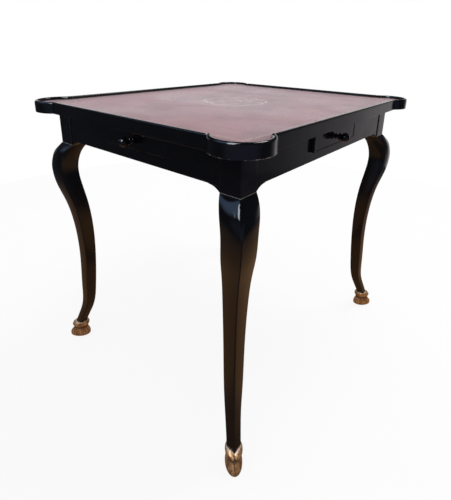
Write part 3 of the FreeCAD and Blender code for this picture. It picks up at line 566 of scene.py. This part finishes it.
def bare_beech(along):
    """Bare beech with its fibres along X, Y or Z."""
    stretch = {"X": (0.06, 1, 1), "Y": (1, 0.06, 1), "Z": (1, 1, 0.06)}[along]
    even = {"IOR": 1.45, "Specular IOR Level": 0.35}
    made, tree, shader = start_material(f"Bare beech along {along}", even)
    if tree is None:
        return made
    colour = finishes().beech
    grain = place_group(tree, "Wood grain", make_wood_grain, {"Place": object_place(tree, stretch)})
    dark = tinted(colour, (0.62, 0.56, 0.50))
    body = mix_colours(tree, ramp(tree, grain["Grain"], 0.36, 0.64), dark, colour)
    dust = place_group(tree, "Dust and waviness", make_surface_dust)["Dust"]
    body = mix_colours(tree, times(tree, dust, 0.35), body, (0.16, 0.12, 0.09))
    tree.links.new(body, shader.inputs["Base Color"])
    tree.links.new(ramp(tree, grain["Grain"], 0.3, 0.7, 0.62, 0.48), shader.inputs["Roughness"])
    bump(tree, shader, grain["Height"], 0.25, 0.0008)
    return made


def plain_steel():
    """Plain steel of the screws, with a dull oxide in patches."""
    made, tree, shader = start_material("Plain steel", {"IOR": 1.5})
    if tree is None:
        return made
    patch = ramp(tree, noise(tree, object_place(tree), 240.0, 4.0), 0.42, 0.6)
    body = mix_colours(tree, patch, (0.50, 0.49, 0.47), (0.12, 0.08, 0.06))
    tree.links.new(body, shader.inputs["Base Color"])
    tree.links.new(ramp(tree, patch, 0.0, 1.0, 1.0, 0.4), shader.inputs["Metallic"])
    tree.links.new(ramp(tree, patch, 0.0, 1.0, 0.35, 0.7), shader.inputs["Roughness"])
    return made


# ---- pieces


class MakeLeather(bpy.types.Operator):
    """Makes the leather of the playing surface, with a round ear at each corner"""

    bl_idname = "mahjong_table.leather"
    bl_label = "Playing surface"

    def execute(self, context):
        reach = math.sqrt(EAR_RADIUS**2 - INNER_INSET**2)
        turn = np.linspace(math.atan2(-INNER_INSET, -reach), math.atan2(reach, INNER_INSET), 41)
        straight = np.linspace(0, 1, 34)[1:-1]
        ear = np.stack([TURRET_X + EAR_RADIUS * np.cos(turn), -TURRET_Y + EAR_RADIUS * np.sin(turn)], -1)
        side = np.stack([np.full_like(straight, FIELD_X), ear[-1, 1] * (1 - 2 * straight)], -1)
        front = np.stack([ear[0, 0] * (2 * straight - 1), np.full_like(straight, -FIELD_Y)], -1)
        half = np.concatenate([ear, side, ear[::-1] * (1, -1), front[::-1] * (1, -1)])
        outline = np.concatenate([half, -half])
        roll = 0.5 * MM
        rolled = [1, 1, 1, 1 - roll * 0.15 / FIELD_X, 1 - roll / FIELD_X]
        shrink = np.array(rolled + [0.98, 0.9, 0.75, 0.5, 0.25, 0.02])[:, None, None]
        wall = [LEATHER_LOW, LEATHER_LOW + 0.2 * MM, LEATHER_HIGH - roll, LEATHER_HIGH - 0.5 * roll]
        height = np.array(wall + [LEATHER_HIGH] * (len(shrink) - len(wall)))[:, None, None]
        height = np.broadcast_to(height, (len(shrink), len(outline), 1))
        piece = add_shell("leather_top", np.concatenate([shrink * outline[None], height], -1))
        dress(piece, red_leather(), "red_leather", "table", "playing_surface")
        return {"FINISHED"}


class MakeRims(bpy.types.Operator):
    """Makes the four rim boards with rounded top edges and ends hollowed to the round corners"""

    bl_idname = "mahjong_table.rims"
    bl_label = "Rim boards"

    def execute(self, context):
        section, near = half_circle_edge(0.5 * sizes().rim_rounding, RIM_HIGH - RIM_LOW, RIM_THICKNESS)
        for side in SIDES:
            across_table = side in ("front", "back")
            face = HALF_LENGTH if across_table else HALF_WIDTH
            centre = TURRET_X if across_table else TURRET_Y
            deep = TURRET_INSET - section[:, 0]
            end = centre - np.sqrt((TURRET_RADIUS + RIM_GAP) ** 2 - deep**2)
            share = np.concatenate([[-1, -0.998], np.linspace(-0.99, 0.99, 60), [0.998, 1]])
            x = share[:, None] * end[None]
            y = np.broadcast_to(section[:, 0] - face, x.shape)
            z = np.broadcast_to(RIM_LOW + section[:, 1], x.shape)
            rings = np.stack([x, y, z], -1) @ side_turn(side)
            piece = add_shell(f"moulded_rim_{side}", rings, near)
            dress(piece, black_lacquer(WEAR["rim"]), "black_lacquer", "table", f"rim_{side}")
        return {"FINISHED"}


class MakeTurrets(bpy.types.Operator):
    """Makes the curved wall round each corner"""

    bl_idname = "mahjong_table.turrets"
    bl_label = "Round corners"

    def execute(self, context):
        section, near = half_circle_edge(sizes().rim_rounding, RIM_HIGH - RIM_LOW, RIM_THICKNESS)
        radius = TURRET_RADIUS - section[:, 0]
        start = -math.pi + np.arcsin(INNER_INSET / radius)
        end = math.pi / 2 - np.arcsin(INNER_INSET / radius)
        share = np.linspace(0, 1, 121)[:, None]
        angle = start[None] * (1 - share) + end[None] * share
        for corner, (sign_x, sign_y) in CORNERS.items():
            x = TURRET_X + radius * np.cos(angle)
            y = TURRET_Y - radius * np.sin(angle)
            rings = np.stack([sign_x * x, sign_y * y, np.broadcast_to(RIM_LOW + section[:, 1], x.shape)], -1)
            piece = add_shell(f"bent_turret_{corner}", rings, near)
            dress(piece, black_lacquer(WEAR["turret"]), "black_lacquer", "table", f"turret_rim_{corner}")
        return {"FINISHED"}


# the leg's outline in millimetres: height, outer arris beyond the post's faces, side of the square
LEG_OUTLINE = (
    (643, 0, 50),
    (626, 16.1, 55.3),
    (578, 26.7, 53),
    (524, 22.1, 51),
    (472, 9, 45.4),
    (400, -2.4, 39.9),
    (275, -6.7, 34.6),
    (175, -3.5, 31.6),
    (108, 1.6, 27.4),
    (62, 14.3, 25.2),
    (34, 21.5, 24.4),
)


def rounded_squares(side, radius, outer_radius, crown, per_corner=9, per_face=11):
    """Rings round squares: a quarter circle at each corner, larger at the outer one, and faces bowed out as
    parabolas of the crown's height. Also how near each point of a ring lies to a corner."""
    turn = np.linspace(0, math.pi / 2, per_corner)
    s = np.linspace(0, 1, per_face + 2)[1:-1]
    half = (side / 2)[:, None]
    bow = half + crown[:, None] * 4 * s * (1 - s)
    parts = []
    for corner in range(4):
        here = (outer_radius if corner == 0 else radius)[:, None]
        after = (outer_radius if corner == 3 else radius)[:, None]
        arc = np.stack([half - here * (1 - np.cos(turn)), half - here * (1 - np.sin(turn))], -1)
        face = np.stack([(half - here) * (1 - s) - (half - after) * s, bow], -1)
        parts.append(np.concatenate([arc, face], 1) @ side_turn(SIDES[corner])[:2, :2])
    near = np.concatenate([1 - np.abs(np.linspace(-1, 1, per_corner)), np.zeros(per_face)])
    return np.concatenate(parts, 1), np.tile(near, 4)


class MakeLegs(bpy.types.Operator):
    """Makes the four cabriole legs with their square posts"""

    bl_idname = "mahjong_table.legs"
    bl_label = "Cabriole legs"

    def execute(self, context):
        outline = np.array(LEG_OUTLINE) * MM
        knots = np.concatenate([[0], np.cumsum(np.hypot(*np.diff(outline[:, :2], axis=0).T))])
        below_post = np.array([0, 0.5, 1.2, 2.2]) * MM
        at = np.concatenate([below_post, np.linspace(4 * MM, knots[-2] + 20 * MM, 210)])
        z, out, side = smooth_curve(knots, outline, at).T
        post = [RIM_LOW, RIM_LOW - 20 * MM, POST_LOW + 20 * MM, POST_LOW + 1 * MM, POST_LOW + 0.4 * MM]
        z = np.concatenate([post, z])
        out = np.concatenate([np.zeros_like(post), out])
        side = np.concatenate([np.full_like(post, POST_SIDE), side])
        low = smooth_step(POST_LOW - z, 0, 25 * MM)
        post_arris = 0.8 * MM
        radius = post_arris + (sizes().arris_rounding - post_arris) * low
        knee = smooth_step(POST_LOW - z, 0, 12 * MM) * (1 - smooth_step(POST_LOW - z, 34 * MM, 72 * MM))
        crown = sizes().face_crown * (low * smooth_step(z, 0.30, 0.55) + 0.8 * knee) + 0.5 * MM * low
        rings, near = rounded_squares(side, radius, radius + sizes().knee_rounding * knee, crown)
        # painted highlight: the crease line where the knee leaves the post is marked beyond any edge, so it
        # always takes the rubbed-edge colour as a thin light line
        crease = np.exp(-(((z - POST_LOW) / (0.5 * MM)) ** 2))[:, None]
        rubbed = 0.42
        beside_apron = np.repeat([rubbed, 1.0, rubbed, 1.0], len(near) // 4)[None] * (z >= POST_LOW)[:, None]
        edge = np.maximum(1.6 * crease, np.maximum(rubbed, beside_apron) * near[None])
        for corner, (sign_x, sign_y) in CORNERS.items():
            x = sign_x * (POST_X + out - side / 2)[:, None] + sign_x * rings[..., 0]
            y = sign_y * (POST_Y + out - side / 2)[:, None] + sign_y * rings[..., 1]
            points = np.stack([x, y, np.broadcast_to(z[:, None], x.shape)], -1)
            piece = add_shell(f"carved_leg_{corner}", points, edge)
            dress(piece, black_lacquer(WEAR["leg"]), "black_lacquer", "table", f"leg_{corner}")
        return {"FINISHED"}


# the hoof shoe's outline in millimetres: height, middle behind the axis, toe, heel, half width, the power
# of its section (2 an ellipse, 1 a diamond round the leg), and how hollow it lies; below zero it marks the
# lips, which are painted lighter as a highlight
HOOF_OUTLINE = (
    (0, 0, 32, 25, 17.6, 2, 0.4),
    (0.6, 0, 33.2, 26.2, 18.8, 2, 0.3),
    (4, 0, 34, 27, 19.6, 2, 0.1),
    (8.5, 0, 34, 27.1, 19.9, 2, 0),
    (14, 0, 31.4, 25.8, 19.2, 2, 0),
    (20, 0, 26.6, 23.2, 17.5, 2, 0.05),
    (25.5, 0.2, 21.8, 20.8, 15.9, 2, 0.5),
    (29, 0.5, 20.2, 20, 15.7, 2, 1),
    (32.5, 0.9, 22, 21.8, 17.4, 2, 0.7),
    (37, 1.6, 24.6, 24.6, 19, 2, 0.2),
    (41.5, 2.5, 25, 25.8, 19.6, 2, 0),
    (45.5, 3.4, 22.8, 25.8, 19.5, 1.9, 0),
    (48.8, 4.1, 18.6, 24.8, 19.1, 1.55, -0.5),
    (50.2, 4.3, 15.8, 23.6, 18.4, 1.25, -1),
    (50, 4.4, 14.2, 22.2, 17.2, 1.12, -0.8),
    (48, 4.4, 12.6, 20.4, 15.6, 1.1, -0.2),
)


class MakeHooves(bpy.types.Operator):
    """Makes the four cast hoof shoes: a hoof, a waist, and a two-lobed collar that closes round the leg"""

    bl_idname = "mahjong_table.hooves"
    bl_label = "Hoof shoes"

    def execute(self, context):
        outline = np.array(HOOF_OUTLINE)
        steps = np.concatenate([[0], np.cumsum(np.hypot(*np.diff(outline[:, [0, 2]], axis=0).T))])
        rows = smooth_curve(steps, outline, np.linspace(0, steps[-1], 130))
        z, back, toe, heel, half_width, power, hollow = (row[:, None] for row in rows.T)
        u = np.linspace(0, 2 * math.pi, 160, endpoint=False)
        turn = u - 0.8 * np.sin(u)
        near_toe = np.abs((turn + math.pi) % (2 * math.pi) - math.pi)[None]

        def groove(width):
            """A bell curve across the toe's middle line: 1 on the line, about a third at the width."""
            return np.exp(-((near_toe / width) ** 2))

        collar = smooth_step(z, 31, 38) * (1 - smooth_step(z, 46, 50))
        lobes = 1 + 0.03 * np.abs(np.sin(1.5 * near_toe)) * collar
        reach = np.where(np.cos(turn)[None] > 0, toe + back, heel - back) * lobes
        wide = half_width * lobes
        around = np.abs(np.cos(turn) / reach) ** power + np.abs(np.sin(turn) / wide) ** power
        radius = around ** (-1 / np.maximum(power, 1))
        fold = 1.5 * groove(0.07) * smooth_step(z, 29, 33) * (1 - 0.5 * smooth_step(z, 46, 49))
        frog = 1.9 * groove(0.05 + 0.2 * smooth_step(z, 19, 29)) * np.exp(-(((z - 27) / 4.5) ** 2))
        seam = sizes().cleft_depth / MM * groove(0.035) * smooth_step(z, 0, 4) * (1 - smooth_step(z, 18, 27))
        flutes = 0.22 * (1 - np.cos(13 * near_toe)) * groove(0.8)
        flutes = flutes * smooth_step(z, 2, 8) * (1 - smooth_step(z, 17, 24))
        radius = radius - fold - frog - seam - flutes
        a = -back + radius * np.cos(turn)
        b = radius * np.sin(turn)
        dip = 4.0 * np.clip(1 - near_toe / 0.6, 0, 1) ** 1.3 * smooth_step(z, 38, 50)
        height = np.maximum(z - dip, 0)
        edge = np.clip(hollow + 0.5 * fold + 0.5 * frog + 0.5 * seam + 0.4 * flutes, -1, 1)
        half = math.sqrt(0.5)
        for corner, (sign_x, sign_y) in CORNERS.items():
            x = sign_x * ((POST_X + HOOF_OUT) / MM + half * (a - b))
            y = sign_y * ((POST_Y + HOOF_OUT) / MM + half * (a + b))
            points = np.stack([x, y, np.broadcast_to(height, x.shape)], -1) * MM
            piece = add_shell(f"cast_hoof_{corner}", points, edge, 50.0)
            dress(piece, gilt_bronze(), "gilt_bronze", "table", f"hoof_{corner}")
        return {"FINISHED"}


def drawer_face(side):
    """A drawer front's width, height and thickness, how far out its face lies, and how high its middle is."""
    low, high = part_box(f"drawer_{side}_front")
    along = 0 if side in ("front", "back") else 1
    span = high - low
    face = max(abs(low[1 - along]), abs(high[1 - along]))
    return span[along], span.z, span[1 - along], face, (low.z + high.z) / 2


def framed_panel(width, height, thickness, bead, stand):
    """Rings of one panel: back, sides, a half-round bead and the sunk field, each a rectangle set in and
    raised."""
    turn = np.linspace(0, math.pi, 9)
    bead_in = bead / 2 * (1 - np.cos(turn))
    bead_up = stand * np.sin(turn) ** 0.8
    inset = np.concatenate([[0.6 * MM, 0, 0], bead_in, [bead + 0.2 * MM, bead + 4 * MM, height * 0.35]])
    field = thickness - stand
    level = np.concatenate([[0, 0.6 * MM, field * 0.5], field + bead_up, [field] * 3])
    near = np.concatenate([[0, 0, 0], np.sin(turn), [0, 0, 0]])
    s = np.linspace(-1, 1, 26)
    long_side = np.stack([s, -np.ones(26)], -1)[:-1]
    short_side = np.stack([np.ones(6), np.linspace(-1, 1, 6)], -1)[:-1]
    ring = np.concatenate([long_side, short_side, -long_side, -short_side])
    half = np.array([width / 2, height / 2])[None, None] - inset[:, None, None]
    flat = ring[None] * half
    return flat, level, near


class MakeDrawerFronts(bpy.types.Operator):
    """Makes the four drawer fronts, each with a sunk field inside a half-round bead"""

    bl_idname = "mahjong_table.drawer_fronts"
    bl_label = "Drawer fronts"

    def execute(self, context):
        for side in SIDES:
            width, height, thickness, face, middle = drawer_face(side)
            flat, level, near = framed_panel(width, height, thickness, sizes().bead_width, BEAD_STAND)
            y = np.broadcast_to((thickness - face - level)[:, None], flat.shape[:2])
            rings = np.stack([flat[..., 0], y, middle + flat[..., 1]], -1) @ side_turn(side)
            piece = add_shell(f"beaded_front_{side}", rings, near[:, None])
            body = f"drawer_{side}"
            dress(piece, black_lacquer(WEAR["board"]), "black_lacquer", body, f"{body}_front")
        return {"FINISHED"}


class MakeKnobs(bpy.types.Operator):
    """Makes the four turned knobs"""

    bl_idname = "mahjong_table.knobs"
    bl_label = "Knobs"

    def execute(self, context):
        # in millimetres: the parts' radii, and how far they lie above the field
        ball, neck, foot, ring = 11.2, 4.6, 7.2, 5.2
        cove_at, cove_high, ring_at, ring_half, ball_at = 1.6, 4.6, 10.2, 2.3, 22.8
        cove = np.linspace(0, math.pi / 2, 8)
        bulge = np.linspace(0.06, math.pi - 0.06, 15)
        round_part = np.linspace(math.pi - math.asin(neck / ball), 0.02, 44)
        peg, rim = 3.9, foot - 0.3
        cove_radius = foot - 0.6 - (foot - 0.6 - neck) * np.sin(cove)
        ring_radius, ring_rise = neck + ring * np.sin(bulge) ** 0.7, ring_at - ring_half * np.cos(bulge)
        ball_radius, ball_rise = ball * np.sin(round_part), ball_at + ball * np.cos(round_part)
        radius = np.concatenate([[peg, peg, rim, foot, foot, rim], cove_radius, ring_radius, ball_radius])
        rise = [[-9.0, 0.0, 0.0, 0.3, 1.2, 1.5], cove_at + cove_high * (1 - np.cos(cove))]
        rise = np.concatenate([*rise, ring_rise, ball_rise])
        turn = np.linspace(0, 2 * math.pi, 64, endpoint=False)
        for side in SIDES:
            face, middle = drawer_face(side)[3:]
            x = radius[:, None] * np.cos(turn)
            z = middle / MM + radius[:, None] * np.sin(turn)
            y = -((face - BEAD_STAND) / MM + rise)[:, None] * np.ones_like(x)
            rings = np.stack([x, y, z], -1) * MM @ side_turn(side)
            piece = add_shell(f"turned_knob_{side}", rings)
            body = f"drawer_{side}"
            dress(piece, black_lacquer(WEAR["knob"]), "black_lacquer", body, f"{body}_knob")
        return {"FINISHED"}


def softened(name, node, width):
    """A copy of a node's mesh, with doubles merged, flat faces made whole and edges rounded off."""
    work = bmesh.new()
    work.from_mesh(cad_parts[node].data)
    bmesh.ops.remove_doubles(work, verts=work.verts, dist=0.001 * MM)
    bmesh.ops.dissolve_limit(work, angle_limit=math.radians(0.5), verts=work.verts, edges=work.edges)
    mesh = bpy.data.meshes.new(name)
    work.to_mesh(mesh)
    work.free()
    mesh.shade_smooth()
    mesh.set_sharp_from_angle(angle=math.radians(30))
    made = add_object(name, mesh)
    edge = made.modifiers.new("Softened edges", "BEVEL")
    edge.width = width
    edge.segments = 2
    edge.limit_method = "ANGLE"
    edge.angle_limit = math.radians(40)
    edge.use_clamp_overlap = True
    return made


class MakeAprons(bpy.types.Operator):
    """Makes the aprons and the knee brackets under them, with softened edges"""

    bl_idname = "mahjong_table.aprons"
    bl_label = "Aprons and brackets"

    def execute(self, context):
        for side in SIDES:
            piece = softened(f"board_apron_{side}", f"apron_{side}", sizes().softening)
            dress(piece, black_lacquer(WEAR["board"]), "black_lacquer", "table", f"apron_{side}")
        for corner in CORNERS:
            piece = softened(f"sawn_brackets_{corner}", f"knee_brackets_{corner}", sizes().softening * 0.6)
            dress(piece, black_lacquer(WEAR["board"]), "black_lacquer", "table", f"knee_brackets_{corner}")
        return {"FINISHED"}


class MakeInside(bpy.types.Operator):
    """Makes the drawer boxes, runners, stops, blocks and top panel, and finishes the screws and pins"""

    bl_idname = "mahjong_table.inside"
    bl_label = "Inside pieces"

    def execute(self, context):
        width = sizes().softening * 0.6
        for side in SIDES:
            along = "Y" if side in ("front", "back") else "X"
            across = "X" if along == "Y" else "Y"
            grains = {"side_left": along, "side_right": along, "back": across, "bottom": across}
            for part, grain in grains.items():
                node = f"drawer_{side}_{part}"
                piece = softened(f"box_{node}", node, width * 0.5 if part == "bottom" else width)
                dress(piece, bare_beech(grain), "bare_beech", f"drawer_{side}", node)
            node = f"drawer_runners_{side}"
            dress(softened(f"grooved_{node}", node, width), bare_beech(along), "bare_beech", "table", node)
        for node, grain in (("drawer_stops", "X"), ("corner_blocks", "Z"), ("top_panel", "Y")):
            dress(softened(f"plain_{node}", node, width), bare_beech(grain), "bare_beech", "table", node)
        for node, finish in (("top_screws", plain_steel), ("hoof_pins", gilt_bronze)):
            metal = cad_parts[node].data.materials
            metal.clear()
            metal.append(finish())
        return {"FINISHED"}


# ---- stage

CAMERA_PLACE = (0.6928, -0.8730, 0.9010)
CAMERA_AZIMUTH, CAMERA_ELEVATION, CAMERA_ROLL = 39.12, 18.37, 1.11
FOCAL_PIXELS = 380.13
IMAGE_MIDDLE = (229.44, 173.05)
IMAGE_SIZE = (451, 500)

TOP_MIDDLE = Vector((0, 0, 0.72))
LAMP_DISTANCE = 2.4
WINDOW_WAY = (-0.40, -0.48, 0.78)


def add_softbox(name, toward, size, strength, colour, gloss_only=False):
    """A lamp that faces the table's top, unseen by the camera. Its watts are radiance times area times pi."""
    data = bpy.data.lights.new(name, "AREA")
    data.shape = "RECTANGLE"
    data.size, data.size_y = size
    data.energy = strength * size[0] * size[1] * math.pi
    data.color = colour
    lamp = add_object(name, data)
    toward = Vector(toward).normalized()
    lamp.location = TOP_MIDDLE + toward * LAMP_DISTANCE
    lamp.rotation_mode = "QUATERNION"
    lamp.rotation_quaternion = toward.to_track_quat("Z", "Y")
    lamp.visible_camera = False
    lamp.visible_diffuse = not gloss_only


def front_way():
    """The level direction from the table toward the camera's side."""
    angle = math.radians(CAMERA_AZIMUTH)
    return math.sin(angle), -math.cos(angle), 0.0


def make_floor():
    """A round floor. The camera sees it white with the table's shadow, soft light meets a grey, and gloss
    sees it warm near the table and dark further off and in front, where the dark is a painted shadow of
    whoever stands before the table."""
    turn = np.linspace(0, 2 * math.pi, 96, endpoint=False)
    ring = np.stack([np.cos(turn), np.sin(turn), np.zeros_like(turn)], -1)
    rings = np.array([0.02, 1.0, 2.0])[:, None, None] * ring[None]
    mesh = bpy.data.meshes.new("floor")
    sides, caps = shell_faces(*rings.shape[:2])
    points = np.concatenate([rings.reshape(-1, 3), [[0, 0, 0]]])
    inner = caps[caps[:, 0] == len(points) - 1]
    mesh.from_pydata(points.tolist(), [], sides[:, ::-1].tolist() + inner[:, ::-1].tolist())
    mesh.update()
    floor = add_object("floor", mesh)
    made, tree, shader = start_material("Pale floor", {"Roughness": 1.0, "Specular IOR Level": 0.0})
    light = tree.nodes.new("ShaderNodeLightPath").outputs
    camera = light["Is Camera Ray"]
    place = object_place(tree)
    away = add_node(tree, "ShaderNodeVectorMath", {0: place}, operation="LENGTH").outputs["Value"]
    way = add_node(tree, "ShaderNodeVectorMath", {0: place}, operation="NORMALIZE").outputs[0]
    # painted shadow: in the sector before the table, toward the camera's side, gloss sees the floor dark,
    # standing for whoever stands there
    before = pointing(tree, way, front_way())
    near_outside_painted_shadow = times(tree, ramp(tree, away, 1.95, 0.35), ramp(tree, before, 0.985, 0.90, 0.25, 1.0))
    body = mix_colours(tree, near_outside_painted_shadow, (0.02, 0.02, 0.022), (0.40, 0.23, 0.12))
    body = mix_colours(tree, light["Is Glossy Ray"], (0.30, 0.29, 0.28), body)
    glow = mix_colours(tree, near_outside_painted_shadow, (0.03, 0.035, 0.055), (0.10, 0.052, 0.024))
    tree.links.new(mix_colours(tree, camera, body, (0.14, 0.14, 0.14)), shader.inputs["Base Color"])
    tree.links.new(mix_colours(tree, camera, glow, (0.875, 0.875, 0.875)), shader.inputs["Emission Color"])
    tree.links.new(larger(tree, camera, mirror_rays(tree, light)), shader.inputs["Emission Strength"])
    mesh.materials.append(made)


def make_world():
    """Soft even fill for the surfaces. The camera sees white all round. Gloss and glass see a low white
    backdrop behind the table, a pale side, a dim front and the glow of a window."""
    world = bpy.data.worlds.new("Studio")
    bpy.context.scene.world = world
    world.use_nodes = True
    tree = world.node_tree
    light = tree.nodes.new("ShaderNodeLightPath").outputs
    toward = tree.nodes.new("ShaderNodeTexCoord").outputs["Generated"]
    behind = pointing(tree, toward, tuple(-part for part in front_way()))
    east, _, up = add_node(tree, "ShaderNodeSeparateXYZ", {"Vector": toward}).outputs
    strip = times(tree, ramp(tree, up, -0.02, 0.01), ramp(tree, up, 0.22, 0.10))
    backdrop = times(tree, ramp(tree, behind, 0.45, 0.75), strip)
    mirror = mirror_rays(tree, light)
    white = larger(tree, light["Is Camera Ray"], times(tree, mirror, backdrop))
    wide, narrow = ramp(tree, behind, 0.1, 0.75, 0.0, 0.5), ramp(tree, behind, 0.48, 0.60, 0.0, 0.35)
    sideways = times(tree, plus(tree, wide, narrow), ramp(tree, east, -0.60, -0.15))
    beside = times(tree, sideways, ramp(tree, up, 0.25, -0.05))
    window = pointing(tree, toward, WINDOW_WAY)
    front = times(tree, ramp(tree, behind, -0.3, -0.8), ramp(tree, up, 0.3, 0.0))
    seen = mix_colours(tree, front, (0.035, 0.038, 0.048), (0.12, 0.15, 0.23))
    seen = mix_colours(tree, beside, seen, (0.84, 0.78, 0.80))
    seen = mix_colours(tree, ramp(tree, window, 0.76, 1.0), seen, (0.55, 0.82, 1.35))
    room = mix_colours(tree, mirror, (0.62, 0.62, 0.635), seen)
    tree.links.new(mix_colours(tree, white, room, (1.0, 1.0, 1.0)), tree.nodes["Background"].inputs["Color"])


class MakeStage(bpy.types.Operator):
    """Makes the floor, the studio light and the camera"""

    bl_idname = "mahjong_table.stage"
    bl_label = "Stage"

    def execute(self, context):
        make_floor()
        make_world()
        add_softbox("softbox_behind", (0.14, 0.50, 0.855), (1.0, 0.8), 9.5, (1.0, 0.99, 0.97))
        add_softbox("softbox_front", (0.12, -0.73, 0.67), (0.85, 2.2), 10.0, (0.86, 0.93, 1.0), True)
        azimuth, elevation, roll = (math.radians(v) for v in (CAMERA_AZIMUTH, CAMERA_ELEVATION, CAMERA_ROLL))
        level = math.cos(elevation)
        back = Vector((math.sin(azimuth) * level, -math.cos(azimuth) * level, math.sin(elevation)))
        right = Vector((math.cos(azimuth), math.sin(azimuth), 0))
        up = back.cross(right)
        right, up = right * math.cos(roll) + up * math.sin(roll), up * math.cos(roll) - right * math.sin(roll)
        data = bpy.data.cameras.new("camera")
        data.sensor_width = 36.0
        long_side = max(IMAGE_SIZE)
        data.lens = FOCAL_PIXELS * data.sensor_width / long_side
        data.shift_x = (IMAGE_SIZE[0] / 2 - IMAGE_MIDDLE[0]) / long_side
        data.shift_y = (IMAGE_MIDDLE[1] - IMAGE_SIZE[1] / 2) / long_side
        data.clip_start, data.clip_end = 0.05, 50.0
        camera = add_object("camera", data)
        axes = Matrix((right, up, back)).transposed().to_4x4()
        camera.matrix_world = Matrix.Translation(CAMERA_PLACE) @ axes
        context.scene.camera = camera
        context.scene.view_settings.view_transform = "Standard"
        return {"FINISHED"}


OPERATORS = (
    MakeStage,
    MakeLeather,
    MakeRims,
    MakeTurrets,
    MakeLegs,
    MakeHooves,
    MakeDrawerFronts,
    MakeKnobs,
    MakeAprons,
    MakeInside,
)


class TablePanel(bpy.types.Panel):
    """The table's sizes, finishes and pieces in the 3D view's sidebar"""

    bl_idname = "VIEW3D_PT_mahjong_table"
    bl_label = "Mahjong table"
    bl_space_type = "VIEW_3D"
    bl_region_type = "UI"
    bl_category = "Table"

    def draw(self, context):
        for group in (sizes(), finishes()):
            box = self.layout.box()
            for name in group.__annotations__:
                box.prop(group, name)
        for maker in OPERATORS:
            self.layout.operator(maker.bl_idname)


CLASSES = (TableSizes, TableFinishes, *OPERATORS, TablePanel)


def register():
    """Registers the classes and hangs the sizes and finishes on the scene."""
    for each in CLASSES:
        bpy.utils.register_class(each)
    bpy.types.Scene.mahjong_table_sizes = bpy.props.PointerProperty(type=TableSizes)
    bpy.types.Scene.mahjong_table_finishes = bpy.props.PointerProperty(type=TableFinishes)


def unregister():
    """Takes the sizes, the finishes and the classes away again."""
    del bpy.types.Scene.mahjong_table_sizes
    del bpy.types.Scene.mahjong_table_finishes
    for each in reversed(CLASSES):
        bpy.utils.unregister_class(each)


def main():
    """Makes every piece and the stage."""
    register()
    for maker in OPERATORS:
        getattr(bpy.ops.mahjong_table, maker.bl_idname.split(".")[1])()


if __name__ == "__main__":
    main()
